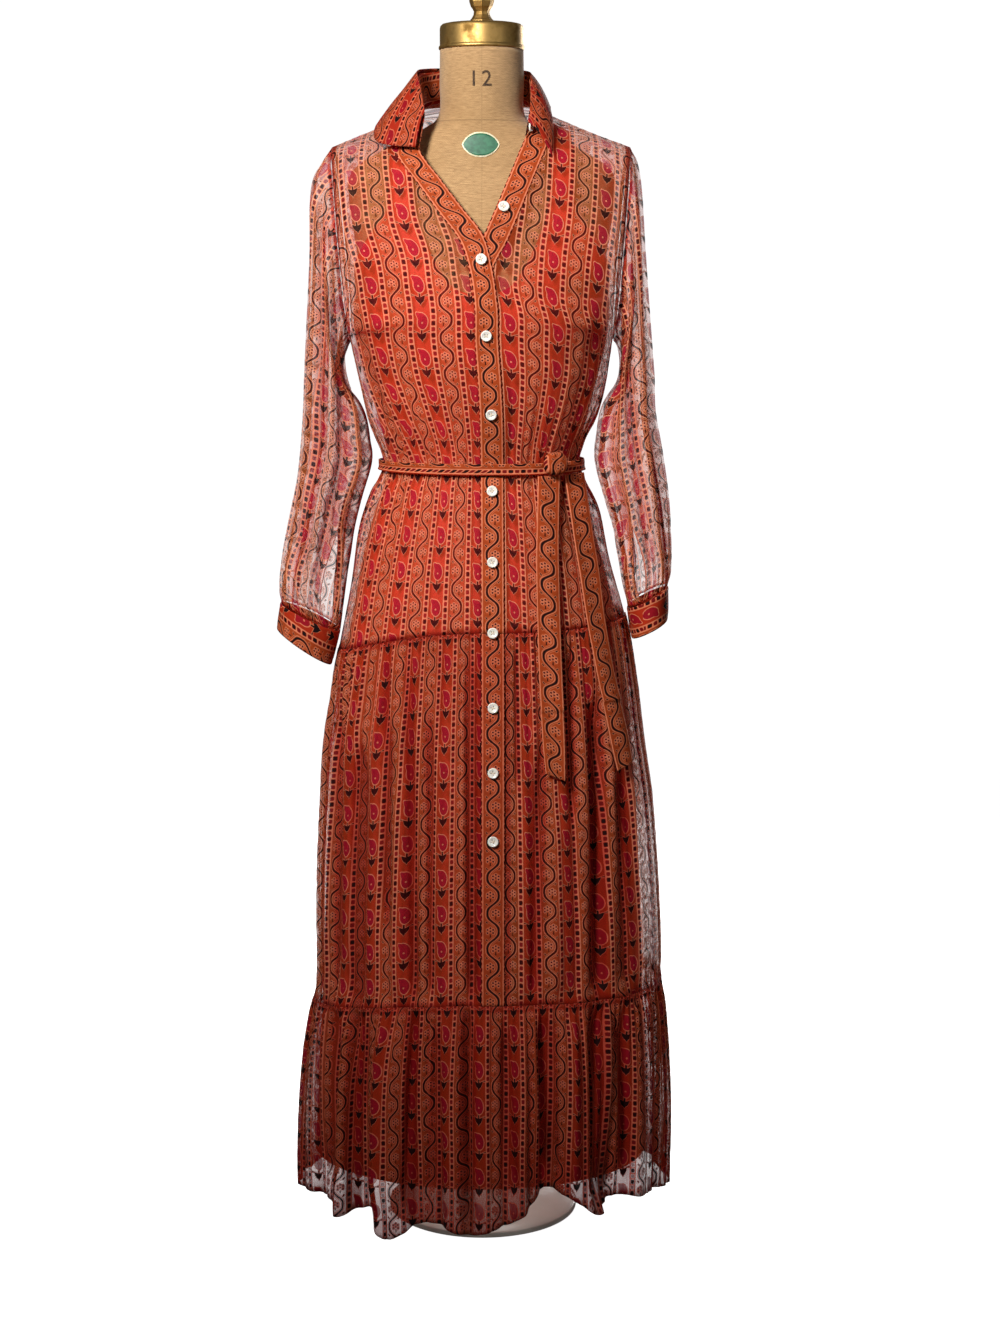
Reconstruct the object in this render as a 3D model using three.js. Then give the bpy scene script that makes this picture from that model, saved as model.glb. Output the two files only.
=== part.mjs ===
// Button-front maxi dress in sheer cloth, over its slip, worn by a limbless dress form on a stand.
// Millimetres, +Z up, the front faces -Y, the origin is on the floor under the stand.
// "right" and "left" in the names are the wearer's: right is the -X side.
import * as THREE from 'three';

// ---- driving sizes ----
const clothWall = 1.3; // single cloth
const doubleWall = 2.3; // bands, collar, cuffs and belt, which are two cloths thick
const seamGap = 0.4;
const bandWidth = 29; // button band
const lapLift = 1.8; // the upper band lies this far out from the front
const formGap = 0.4;

const underarm = 1150;
const hipSeam = { front: 791, right: 756, left: 800, back: 778 };
const ruffleSeam = { front: 326, right: 292, left: 318, back: 306 };
const beltCentre = 993;
const beltHeight = 17;

const frontColumns = 12; // cells from the button band to a side seam of the bodice
const skirtFrontColumns = 24;
const ruffleColumns = 56; // cells across the front ruffle, and as many behind
const slipColumns = 8;
const sleeveColumns = 18;

// Half widths and depths of the dress at each height, folds left out.
const dressLevels = [
  { z: 15, right: 236, left: 242, front: 200, back: 192, round: 2.0 },
  { z: 60, right: 238, left: 243, front: 199, back: 191, round: 2.0 },
  { z: 130, right: 238, left: 245, front: 195, back: 188, round: 2.0 },
  { z: 210, right: 234, left: 243, front: 189, back: 183, round: 2.05 },
  { z: 280, right: 226, left: 239, front: 181, back: 176, round: 2.05 },
  { z: 320, right: 218, left: 235, front: 174, back: 169, round: 2.05 },
  { z: 400, right: 217, left: 232, front: 168, back: 163, round: 2.1 },
  { z: 480, right: 215, left: 227, front: 160, back: 156, round: 2.1 },
  { z: 565, right: 210, left: 219, front: 151, back: 149, round: 2.15 },
  { z: 635, right: 205, left: 208, front: 143, back: 142, round: 2.2 },
  { z: 700, right: 195, left: 200, front: 134, back: 135, round: 2.2 },
  { z: 755, right: 186, left: 192, front: 127, back: 129, round: 2.25 },
  { z: 800, right: 176, left: 184, front: 121, back: 125, round: 2.25 },
  { z: 870, right: 164, left: 164, front: 113, back: 115, round: 2.2 },
  { z: 935, right: 153, left: 150, front: 104, back: 102, round: 2.15 },
  { z: 972, right: 134, left: 132, front: 97, back: 91, round: 2.1 },
  { z: 993, right: 125, left: 124, front: 93, back: 85, round: 2.1 },
  { z: 1014, right: 131, left: 127, front: 97, back: 88, round: 2.1 },
  { z: 1055, right: 146, left: 146, front: 109, back: 98, round: 2.2 },
  { z: 1100, right: 156, left: 158, front: 117, back: 106, round: 2.3 },
  { z: 1150, right: 167, left: 165, front: 122, back: 112, round: 2.4 },
];

// Line of the buttons: it leans a little to the wearer's left on its way down.
const buttonLine = [
  { z: 20, x: 14 }, { z: 700, x: 14 }, { z: 960, x: 13 }, { z: 1063, x: 12 },
  { z: 1160, x: 6 }, { z: 1250, x: 0 }, { z: 1282, x: 2 },
];

// Sleeve stations from the armhole to the cuff: the outer and inner lines seen from the front,
// half the depth, the middle of the depth, and how deep the folds are.
const rightSleeve = [
  { outX: -188, outZ: 1391, inX: -167, inZ: 1150, depth: 72, midY: 2, fine: 0, soft: 0 },
  { outX: -201, outZ: 1375, inX: -172, inZ: 1141, depth: 75, midY: 2, fine: 0, soft: 1 },
  { outX: -214, outZ: 1345, inX: -175, inZ: 1122, depth: 77, midY: 2, fine: 0, soft: 2 },
  { outX: -216, outZ: 1268, inX: -171, inZ: 1095, depth: 76, midY: 1, fine: 0, soft: 3 },
  { outX: -221, outZ: 1175, inX: -154, inZ: 1057, depth: 72, midY: 0, fine: 0, soft: 4 },
  { outX: -227, outZ: 1068, inX: -148, inZ: 1024, depth: 69, midY: -3, fine: 0, soft: 4.5 },
  { outX: -233, outZ: 1005, inX: -146, inZ: 996, depth: 67, midY: -6, fine: 0, soft: 4.5 },
  { outX: -244, outZ: 940, inX: -160, inZ: 945, depth: 65, midY: -10, fine: 0.6, soft: 4 },
  { outX: -253, outZ: 880, inX: -174, inZ: 872, depth: 60, midY: -15, fine: 1.4, soft: 3 },
  { outX: -258, outZ: 842, inX: -181, inZ: 818, depth: 50, midY: -20, fine: 2, soft: 1.5 },
  { outX: -257, outZ: 819, inX: -184, inZ: 783, depth: 38, midY: -23, fine: 1.6, soft: 0 },
];
const leftSleeve = [
  { outX: 186, outZ: 1391, inX: 166, inZ: 1150, depth: 72, midY: 2, fine: 0, soft: 0 },
  { outX: 195, outZ: 1373, inX: 171, inZ: 1141, depth: 75, midY: 2, fine: 0, soft: 1 },
  { outX: 200, outZ: 1335, inX: 175, inZ: 1120, depth: 77, midY: 2, fine: 0, soft: 1.5 },
  { outX: 204, outZ: 1268, inX: 171, inZ: 1095, depth: 76, midY: 1, fine: 0, soft: 2 },
  { outX: 211, outZ: 1175, inX: 155, inZ: 1057, depth: 72, midY: 0, fine: 0, soft: 3 },
  { outX: 220, outZ: 1068, inX: 149, inZ: 1026, depth: 69, midY: -3, fine: 0, soft: 4 },
  { outX: 229, outZ: 1005, inX: 147, inZ: 996, depth: 67, midY: -6, fine: 0, soft: 4 },
  { outX: 237, outZ: 945, inX: 160, inZ: 945, depth: 65, midY: -10, fine: 0.6, soft: 3.5 },
  { outX: 240, outZ: 893, inX: 175, inZ: 885, depth: 58, midY: -15, fine: 1.4, soft: 3 },
  { outX: 240, outZ: 860, inX: 182, inZ: 842, depth: 48, midY: -20, fine: 2, soft: 1.5 },
  { outX: 237, outZ: 840, inX: 187, inZ: 813, depth: 38, midY: -23, fine: 1.6, soft: 0 },
];
const rightCuff = [
  { outX: -262, outZ: 784, inX: -196, inZ: 738, depth: 37, midY: -26 },
  { outX: -257.5, outZ: 817.4, inX: -184, inZ: 781.4, depth: 39, midY: -23 },
];
const leftCuff = [
  { outX: 236, outZ: 796, inX: 194, inZ: 772, depth: 37, midY: -26 },
  { outX: 237.5, outZ: 838, inX: 187, inZ: 811, depth: 39, midY: -23 },
];
const rightSlit = { column: 6, stations: 2 };
const leftSlit = { column: 12, stations: 2 };

// Rows of the fronts above the underarm: where the neck edge is, and where on the armhole the
// row ends, in degrees from the shoulder point. lap is how far the band reaches past the line.
const rightFrontRows = [
  { x: 6, y: -126, z: 1195, armhole: 155, lap: 14.5, round: 2.4 },
  { x: 0, y: -120, z: 1240, armhole: 132, lap: 14.5, round: 2.3 },
  { x: 2, y: -112, z: 1281, armhole: 108, lap: 0, round: 2.2 },
  { x: -24, y: -101, z: 1314, armhole: 85, lap: 0, round: 2.1 },
  { x: -50, y: -88, z: 1348, armhole: 62, lap: 0, round: 2.0 },
  { x: -75, y: -72, z: 1382, armhole: 40, lap: 0, round: 2.0 },
  { x: -79, y: -38, z: 1414, armhole: 20, lap: 0, round: 2.0 },
  { x: -74, y: -0.3, z: 1437, armhole: 0, lap: 0, round: 2.0 },
];
const leftFrontRows = [
  { x: 6, y: -126, z: 1195, armhole: 155, lap: 14.5, round: 2.4 },
  { x: 0, y: -120, z: 1240, armhole: 132, lap: 14.5, round: 2.3 },
  { x: 3.5, y: -112.2, z: 1281.5, armhole: 108, lap: 0, round: 2.2 },
  { x: 20, y: -102, z: 1319, armhole: 85, lap: 0, round: 2.1 },
  { x: 36, y: -88, z: 1357, armhole: 62, lap: 0, round: 2.0 },
  { x: 52, y: -64, z: 1395, armhole: 40, lap: 0, round: 2.0 },
  { x: 64, y: -34, z: 1417, armhole: 20, lap: 0, round: 2.0 },
  { x: 62, y: -0.3, z: 1435, armhole: 0, lap: 0, round: 2.0 },
];
// The back in the same way: the first rows meet on its middle line, the last follow the neck.
const backRows = [
  { x: [0, 0], y: 113, z: 1195, armhole: 155, round: 2.4 },
  { x: [0, 0], y: 110, z: 1240, armhole: 132, round: 2.3 },
  { x: [0, 0], y: 105, z: 1290, armhole: 108, round: 2.2 },
  { x: [0, 0], y: 98, z: 1335, armhole: 85, round: 2.1 },
  { x: [0, 0], y: 89, z: 1378, armhole: 62, round: 2.0 },
  { x: [0, 0], y: 77, z: 1418, armhole: 42, round: 2.0 },
  { x: [0, 0], y: 65, z: 1452, armhole: 28, round: 2.0 },
  { x: [-34, 32], y: 59, z: 1451, armhole: 18, round: 2.0 },
  { x: [-62, 56], y: 38, z: 1446, armhole: 9, round: 2.0 },
  { x: [-74, 62], y: 0.3, z: 1436, armhole: 0, round: 2.0 },
];

// Collar stations round the neck, from the wearer's right front to the left front.
const collarStations = [
  { base: [-76, -74, 1386], fold: [-69, -63, 1428], edge: [-80, -80, 1386] },
  { base: [-79, -39, 1419], fold: [-75, -36, 1460], edge: [-108, -74, 1388] },
  { base: [-74, 0, 1441], fold: [-79, 0, 1481], edge: [-130, -56, 1396] },
  { base: [-61, 38, 1450], fold: [-65, 41, 1488], edge: [-125, 6, 1424] },
  { base: [-34, 60, 1456], fold: [-36, 65, 1491], edge: [-84, 62, 1440] },
  { base: [0, 67, 1457], fold: [0, 72, 1492], edge: [0, 100, 1448] },
  { base: [32, 60, 1456], fold: [34, 64, 1489], edge: [62, 74, 1444] },
  { base: [56, 38, 1450], fold: [57, 40, 1484], edge: [83, 34, 1440] },
  { base: [62, 0, 1439], fold: [60, 0, 1474], edge: [85, -12, 1434] },
  { base: [64, -34, 1422], fold: [61, -34, 1449], edge: [87, -46, 1412] },
  { base: [54, -64, 1400], fold: [57, -62, 1416], edge: [85, -82, 1376] },
];
const collarSteps = 3; // cells between two stations

// Slip: half widths and depths, then its strapped top in rows from the neck edge to the armhole.
// It has a waist seam behind the belt.
const slipLevels = [
  { z: 84, right: 224, left: 218, front: 172, back: 168, round: 2 },
  { z: 300, right: 211, left: 211, front: 152, back: 148, round: 2.05 },
  { z: 513, right: 202, left: 203, front: 138, back: 138, round: 2.1 },
  { z: 700, right: 186, left: 188, front: 121, back: 125, round: 2.15 },
  { z: 800, right: 168, left: 172, front: 113.5, back: 118, round: 2.2 },
  { z: 900, right: 148, left: 147, front: 101, back: 104, round: 2.15 },
  { z: 993, right: 117, left: 117, front: 85.5, back: 79.5, round: 2.1 },
  { z: 1060, right: 135, left: 136, front: 94, back: 84, round: 2.1 },
  { z: 1150, right: 160, left: 158, front: 118.5, back: 94, round: 2.15 },
  { z: 1195, right: 163, left: 162, front: 121, back: 96, round: 2.2 },
];
const slipFrontRows = [
  { x: 4, y: -119.5, z: 1205, endX: 161, endY: 8, endZ: 1207 },
  { x: 34, y: -113, z: 1217, endX: 160, endY: -32, endZ: 1233 },
  { x: 53, y: -105, z: 1242, endX: 157, endY: -50, endZ: 1251 },
  { x: 68, y: -96, z: 1272, endX: 140, endY: -66, endZ: 1280 },
  { x: 80, y: -88, z: 1304, endX: 118, endY: -75, endZ: 1310 },
  { x: 85, y: -78, z: 1345, endX: 115, endY: -67, endZ: 1345 },
  { x: 85, y: -48, z: 1391, endX: 114, endY: -42, endZ: 1382 },
  { x: 85, y: 5.7, z: 1423, endX: 112, endY: 5.7, endZ: 1410 },
];
const slipBackRows = [
  { x: 4, y: 95, z: 1250, endX: 161, endY: 12, endZ: 1209 },
  { x: 40, y: 92, z: 1300, endX: 158, endY: 48, endZ: 1247 },
  { x: 70, y: 84, z: 1345, endX: 138, endY: 62, endZ: 1312 },
  { x: 85, y: 66, z: 1385, endX: 115, endY: 58, endZ: 1368 },
  { x: 85, y: 6.3, z: 1423, endX: 112, endY: 6.3, endZ: 1410 },
];

// Dress form: half width, front and back depth.
const formLevels = [
  { z: 690, half: 150, front: 110, back: 116 },
  { z: 760, half: 155, front: 110, back: 119 },
  { z: 830, half: 150, front: 106, back: 113 },
  { z: 900, half: 138, front: 95, back: 99 },
  { z: 960, half: 117, front: 83, back: 82 },
  { z: 993, half: 111, front: 80, back: 75 },
  { z: 1040, half: 114, front: 84, back: 75 },
  { z: 1100, half: 128, front: 101, back: 82 },
  { z: 1150, half: 141, front: 113, back: 87 },
  { z: 1190, half: 146, front: 116, back: 89 },
  { z: 1235, half: 149, front: 107, back: 89 },
  { z: 1285, half: 150, front: 94, back: 86 },
  { z: 1330, half: 154, front: 80, back: 77 },
  { z: 1362, half: 152, front: 66, back: 64 },
  { z: 1387, half: 122, front: 58, back: 56 },
  { z: 1404, half: 92, front: 55, back: 54 },
  { z: 1418, half: 66, front: 54.5, back: 54 },
  { z: 1430, half: 54, front: 54, back: 53.5 },
  { z: 1470, half: 53, front: 52.8, back: 52.8 },
  { z: 1509, half: 52.5, front: 52.5, back: 52.5 },
];
const formSides = 20;
const formRound = 2.15;

// Belt tails: the middle line down the skirt.
const frontTail = [
  { z: 982, x: 80, width: 27 }, { z: 930, x: 80, width: 27 }, { z: 870, x: 80, width: 28 },
  { z: 800, x: 82, width: 28 }, { z: 740, x: 84, width: 28 }, { z: 693, x: 86, width: 28 },
  { z: 650, x: 88, width: 27 }, { z: 612, x: 90, width: 24 },
];
const backTail = [
  { z: 982, x: 111, width: 23 }, { z: 930, x: 119, width: 23 }, { z: 870, x: 128, width: 24 },
  { z: 800, x: 139, width: 23 }, { z: 740, x: 150, width: 22 }, { z: 693, x: 160, width: 22 },
  { z: 650, x: 169, width: 22 }, { z: 615, x: 176, width: 19 },
];
const tailLift = 7.4;
const knot = { x: 86, z: 1000, width: 34, height: 27, depth: 15, lift: 17 };

// Hem of the ruffle: angle from the front, how far each fold stands out, its height off the floor.
const hemFolds = [
  { at: -96, out: 6, up: 37 }, { at: -78, out: 7, up: 38 }, { at: -62, out: -10, up: 43 },
  { at: -50, out: 10, up: 33 }, { at: -41, out: -12, up: 50 }, { at: -32, out: 12, up: 20 },
  { at: -21, out: -10, up: 44 }, { at: -7, out: 13, up: 38 }, { at: 3, out: 3, up: 47 },
  { at: 10, out: 9, up: 64 }, { at: 17, out: -13, up: 90 }, { at: 25, out: 1, up: 76 },
  { at: 34, out: 13, up: 51 }, { at: 45, out: -17, up: 60 }, { at: 57, out: 3, up: 52 },
  { at: 67, out: -4, up: 48 }, { at: 82, out: 7, up: 40 }, { at: 98, out: -9, up: 45 },
  { at: 114, out: 11, up: 34 }, { at: 130, out: -12, up: 46 }, { at: 146, out: 12, up: 33 },
  { at: 161, out: -10, up: 48 }, { at: 177, out: 13, up: 35 }, { at: 193, out: -12, up: 47 },
  { at: 209, out: 12, up: 34 }, { at: 226, out: -11, up: 45 }, { at: 243, out: 10, up: 36 },
  { at: 254, out: -6, up: 41 }, { at: 264, out: 6, up: 37 },
];

const buttonRadius = 6.8;
const buttonThick = 2.6;
const placketButtons = [1250, 1159, 1063, 966, 879, 791.5, 699, 618.5, 533.5];
const buttonStand = 1.4; // thread shank
const neckButton = { x: 27, z: 1315 };
const standButton = { station: 9.75, up: 0.36 };

const pole = { radius: 12, top: 688 };
const base = { radius: 125, height: 22 };
const cap = { low: 1509.7, high: 1541, radius: 52.6 };

// ---- colours ----
const paint = (color, roughness, metalness = 0) =>
  new THREE.MeshStandardMaterial({ color, roughness, metalness });
const printed = paint('#c8482c', 0.8);
const slipCloth = paint('#c2342a', 0.6);
const linen = paint('#b79468', 0.9);
const brass = paint('#9a7a3c', 0.35, 1);
const pearl = paint('#efe6da', 0.3);
const enamel = paint('#e9e4da', 0.4);

// ---- reading the tables ----
const rad = THREE.MathUtils.degToRad;
const lerp = THREE.MathUtils.lerp;

// Smooth curve through table[i][key] over table[i][by], level beyond its ends.
function along(table, by, key, at) {
  const last = table.length - 1;
  if (at <= table[0][by]) return table[0][key];
  if (at >= table[last][by]) return table[last][key];
  const i = table.findIndex((row, k) => k < last && at < table[k + 1][by]);
  const slope = (k) => {
    const a = table[Math.max(k - 1, 0)];
    const b = table[Math.min(k + 1, last)];
    return (b[key] - a[key]) / (b[by] - a[by]);
  };
  const step = table[i + 1][by] - table[i][by];
  const t = (at - table[i][by]) / step;
  const [t2, t3] = [t * t, t * t * t];
  return table[i][key] * (2 * t3 - 3 * t2 + 1) + table[i + 1][key] * (3 * t2 - 2 * t3)
    + step * (slope(i) * (t3 - 2 * t2 + t) + slope(i + 1) * (t3 - t2));
}

// The same over the row number, for every named column.
function rowAt(rows, keys, v) {
  const found = {};
  for (const key of keys) {
    const column = rows.map((row, k) => ({ k, value: row[key] }));
    found[key] = along(column, 'k', 'value', v);
  }
  return found;
}

const signedPower = (value, power) => Math.sign(value) * Math.abs(value) ** power;

// Point of a garment ring: angle from the front centre towards the wearer's left.
function ringPoint(levels, angle, z, centre = 0) {
  const read = (key) => along(levels, 'z', key, z);
  const power = 2 / read('round');
  const across = Math.sin(angle) < 0 ? read('right') + centre : read('left') - centre;
  const deep = Math.cos(angle) > 0 ? read('front') : read('back');
  return new THREE.Vector3(
    centre + across * signedPower(Math.sin(angle), power),
    -deep * signedPower(Math.cos(angle), power),
    z,
  );
}
const lineX = (z) => along(buttonLine, 'z', 'x', z);
const dressPoint = (angle, z) => ringPoint(dressLevels, angle, z, lineX(z));

// Height of a skewed seam at an angle.
function seamHeight(seam, angle) {
  const side = Math.sin(angle) < 0 ? seam.right : seam.left;
  const middle = Math.cos(angle) > 0 ? seam.front : seam.back;
  return lerp(middle, side, Math.sin(angle) ** 2);
}

// Angle at which the front of the dress reaches x.
function angleAt(x, z) {
  const centre = lineX(z);
  const side = x < centre ? along(dressLevels, 'z', 'right', z) + centre
    : along(dressLevels, 'z', 'left', z) - centre;
  const share = signedPower((x - centre) / side, along(dressLevels, 'z', 'round', z) / 2);
  return Math.asin(THREE.MathUtils.clamp(share, -1, 1));
}

// ---- making solids ----
const ways = (count) => Array.from({ length: count + 1 }, (_, i) => i / count);

// A patch of cloth: surface(u, v) gives a point, fold(column, v) moves it along the normal.
// Round a tube u runs on past its ends.
function patch(us, vs, surface, fold = () => 0, tube = false) {
  const within = (values, value) => THREE.MathUtils.clamp(value, Math.min(...values), Math.max(...values));
  const step = (values) => (values[values.length - 1] - values[0]) * 0.004;
  return vs.map((v) => us.map((u, column) => {
    const [du, dv] = [step(us), step(vs)];
    const [ahead, behind] = [u + du, u - du].map((at) => (tube ? at : within(us, at)));
    const alongU = surface(ahead, v).sub(surface(behind, v));
    const alongV = surface(u, within(vs, v + dv)).sub(surface(u, within(vs, v - dv)));
    const normal = alongU.cross(alongV).normalize();
    return { point: surface(u, v).addScaledVector(normal, fold(column, v, u)), normal };
  }));
}

function meshFrom(name, material, corners, triangles) {
  const geometry = new THREE.BufferGeometry();
  geometry.setAttribute('position', new THREE.Float32BufferAttribute(
    corners.flatMap((p) => [p.x, p.y, p.z]), 3));
  geometry.setIndex(triangles.flat());
  const mesh = new THREE.Mesh(geometry, material);
  mesh.name = name;
  return mesh;
}

// Joins patches where their points meet and gives the cloth its wall, from lift outwards.
function cloth(name, material, patches, { wall = clothWall, lift = 0, skip = () => false } = {}) {
  const points = [];
  const places = new Map();
  const find = ({ point, normal }) => {
    const key = [point.x, point.y, point.z].map((c) => Math.round(c * 100)).join(' ');
    if (!places.has(key)) {
      places.set(key, points.length);
      points.push({ point, normal: new THREE.Vector3() });
    }
    const index = places.get(key);
    points[index].normal.add(normal);
    return index;
  };
  const outer = [];
  for (const rows of patches) {
    const numbers = rows.map((row) => row.map(find));
    for (let i = 0; i + 1 < rows.length; i += 1) {
      for (let j = 0; j + 1 < rows[i].length; j += 1) {
        if (skip(i, j)) continue;
        const [a, b] = [numbers[i][j], numbers[i][j + 1]];
        const [c, d] = [numbers[i + 1][j + 1], numbers[i + 1][j]];
        outer.push([a, b, c], [a, c, d]);
      }
    }
  }
  const faces = outer.filter(([a, b, c]) => a !== b && b !== c && c !== a);
  const count = points.length;
  const corners = [lift + wall, lift].flatMap((far) => points.map(
    ({ point, normal }) => point.clone().addScaledVector(normal.clone().normalize(), far)));
  const open = new Map();
  for (const face of faces) {
    face.forEach((a, k) => {
      const b = face[(k + 1) % 3];
      if (!open.delete(`${b} ${a}`)) open.set(`${a} ${b}`, [a, b]);
    });
  }
  const rims = [...open.values()].flatMap(([a, b]) => [[b, a, a + count], [b, a + count, b + count]]);
  const inner = faces.map(([a, b, c]) => [a + count, c + count, b + count]);
  return meshFrom(name, material, corners, [...faces, ...inner, ...rims]);
}

function turned(name, material, profile, sides) {
  const mesh = new THREE.Mesh(
    new THREE.LatheGeometry(profile.map(([r, z]) => new THREE.Vector2(r, z)), sides), material);
  mesh.geometry.rotateX(Math.PI / 2);
  mesh.name = name;
  return mesh;
}

// ---- bodice ----
const armholePoint = (sleeve, degrees, towards) => {
  const { outX, outZ, inX, inZ, depth, midY } = sleeve[0];
  const share = (1 + Math.cos(rad(degrees))) / 2;
  return new THREE.Vector3(
    lerp(inX, outX, share),
    midY * Math.sin(rad(degrees)) + towards * depth * Math.sin(rad(degrees)),
    lerp(inZ, outZ, share),
  );
};

const lowerHeights = [0, 0.21, 0.39, 0.5, 0.56, 0.62, 0.74, 0.87, 1]; // hip seam to underarm

// Rows of half a panel, each from its middle line or neck edge to its side or armhole.
function halfRows(side, towards, upperRows) {
  const sleeve = side < 0 ? rightSleeve : leftSleeve;
  const [middle, edge] = [towards < 0 ? 0 : Math.PI, side * Math.PI / 2];
  const lower = lowerHeights.map((share) => {
    const start = lerp(seamHeight(hipSeam, middle) + seamGap, underarm, share);
    const end = lerp(seamHeight(hipSeam, edge) + seamGap, underarm, share);
    const from = dressPoint(middle, start);
    const to = dressPoint(edge, end);
    const round = along(dressLevels, 'z', 'round', start);
    return { x: from.x, y: from.y, z: start, endX: to.x, endY: towards * seamGap / 2, endZ: end,
      round, lap: 14.5, rise: round };
  });
  const upper = upperRows.map((row) => {
    const end = armholePoint(sleeve, row.armhole, towards);
    const x = Array.isArray(row.x) ? row.x[side < 0 ? 0 : 1] : row.x;
    return { lap: 0, ...row, x, endX: end.x, endY: end.y + towards * seamGap / 2, endZ: end.z,
      rise: 1 };
  });
  return [...lower, ...upper];
}
const rowColumns = ['x', 'y', 'z', 'endX', 'endY', 'endZ', 'round', 'rise', 'lap'];

// Point of a half panel: off is the distance from the row's start, measured across.
function halfPoint(rows, side, v, off) {
  const row = rowAt(rows, rowColumns, v);
  const width = Math.abs(row.endX - row.x);
  const share = Math.min(Math.abs(off) / width, 1);
  const bow = (1 - share ** row.round) ** (1 / row.round);
  return new THREE.Vector3(
    row.x + side * off,
    row.endY + (row.y - row.endY) * bow,
    row.z + (row.endZ - row.z) * share ** row.rise,
  );
}
const widthAt = (rows, v) => {
  const { x, endX } = rowAt(rows, ['x', 'endX'], v);
  return Math.abs(endX - x);
};

// Gathers over and under the belt: crests and troughs on neighbouring columns.
const waistGather = [
  { v: 0, deep: 0.5 }, { v: 2, deep: 0.8 }, { v: 3, deep: 1.8 }, { v: 4, deep: 1.9 },
  { v: 5, deep: 2.2 }, { v: 6, deep: 2.0 }, { v: 7, deep: 0.9 }, { v: 9, deep: 0 },
];
const uneven = (column) => 0.75 + 0.25 * Math.sin(column * 2.4);
const zigzag = (column) => (column % 2 ? 1 : -1) * uneven(column);
const edgeless = (column, count) => (column === 0 || column === count ? 0 : 1);
const waistFold = (count) => (column, v) =>
  along(waistGather, 'v', 'deep', v) * zigzag(column) * edgeless(column, count);

const rowNumbers = (rows) => rows.map((_, i) => i);
const bandEndRow = lowerHeights.length + 5; // the row where the band meets the collar

// Where a front starts beyond its band: nothing is left of the band at the collar seam.
function bandOffset(rows, v, extra) {
  const shut = rowAt(rows, ['lap'], v).lap;
  const wide = bandWidth * THREE.MathUtils.clamp(bandEndRow + 1 - v, 0.04, 1);
  return wide - shut + extra;
}

function bodiceFront(name, side, upperRows) {
  const rows = halfRows(side, -1, upperRows);
  const surface = (u, v) => {
    const width = widthAt(rows, v);
    const start = Math.max(bandOffset(rows, v, seamGap), 0);
    const toSide = side < 0 ? 1 - u : u;
    const begin = Math.asin((start / width) ** 1.1);
    const share = Math.sin(lerp(begin, Math.PI / 2, toSide)) ** (1 / 1.1);
    return halfPoint(rows, side, v, width * share);
  };
  const fold = waistFold(frontColumns);
  return cloth(name, printed, [patch(ways(frontColumns), rowNumbers(rows), surface, fold)]);
}

function bodiceBack() {
  const halves = [-1, 1].map((side) => halfRows(side, 1, backRows));
  const surface = (side) => (u, v) => {
    const rows = halves[side < 0 ? 0 : 1];
    const toSide = side < 0 ? u : 1 - u;
    const share = Math.sin(toSide * Math.PI / 2) ** (1 / 1.1);
    return halfPoint(rows, side, v, widthAt(rows, v) * share);
  };
  const numbers = rowNumbers(halves[0]);
  return cloth('bodice_back', printed, [1, -1].map((side) => patch(
    ways(frontColumns), numbers, surface(side), waistFold(frontColumns))));
}

// The bands: the right front's lies over the left front's.
function buttonBand(name, side, upperRows, lift) {
  const rows = halfRows(side, -1, upperRows);
  const numbers = rowNumbers(rows).slice(0, bandEndRow + 2);
  const surface = (u, v) => {
    const shut = rowAt(rows, ['lap'], v).lap;
    return halfPoint(rows, side, v, lerp(-shut, bandOffset(rows, v, 0), side < 0 ? 1 - u : u));
  };
  return cloth(name, printed, [patch(ways(2), numbers, surface)], { lift });
}

// ---- skirt and ruffle ----
const skirtHeights = [0, 0.3, 0.68, 0.92, 1];
const skirtFine = [{ v: 0, deep: 2 }, { v: 0.3, deep: 0.4 }, { v: 0.92, deep: 3 }, { v: 1, deep: 2.8 }];
const skirtSoft = [{ v: 0, deep: 5 }, { v: 0.3, deep: 6 }, { v: 0.68, deep: 4.5 }, { v: 1, deep: 0.5 }];
const softWave = (column) => Math.sin(column * Math.PI / 2 + 0.8) * (0.7 + 0.3 * Math.sin(column * 0.9));
const skirtFold = (count) => (column, v) => edgeless(column, count) * (
  along(skirtFine, 'v', 'deep', v) * zigzag(column) + along(skirtSoft, 'v', 'deep', v) * softWave(column));

function skirtPoint(angle, v) {
  const z = lerp(seamHeight(ruffleSeam, angle) + seamGap, seamHeight(hipSeam, angle) - seamGap, v);
  return dressPoint(angle, z);
}

function skirtPanel(name, from, to, columns) {
  const surface = (u, v) => skirtPoint(lerp(from(v), to(v), u), v);
  return cloth(name, printed, [patch(ways(columns), skirtHeights, surface, skirtFold(columns))]);
}
const skirtZ = (v) => lerp(ruffleSeam.front, hipSeam.front, v);
const bandAngle = (v, off) => angleAt(lineX(skirtZ(v)) + off, skirtZ(v));
const sideTurn = Math.PI / 2;
const sideGap = 0.0012; // radians each side of a side seam

function skirtBand() {
  const half = bandWidth / 2;
  const surface = (u, v) => skirtPoint(bandAngle(v, lerp(-half, half, u)), v);
  return cloth('placket_skirt', printed, [patch(ways(2), skirtHeights, surface)], { lift: lapLift });
}

const ruffleHeights = [0, 0.28, 0.62, 0.9, 1];
const ruffleFine = [{ v: 0, deep: 0 }, { v: 0.28, deep: 0 }, { v: 0.62, deep: 1.5 }, { v: 0.9, deep: 3.4 },
  { v: 1, deep: 2.8 }];

function hemAt(angle, key) {
  let degrees = THREE.MathUtils.radToDeg(angle);
  if (degrees < -90) degrees += 360;
  return along(hemFolds, 'at', key, degrees);
}

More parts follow.
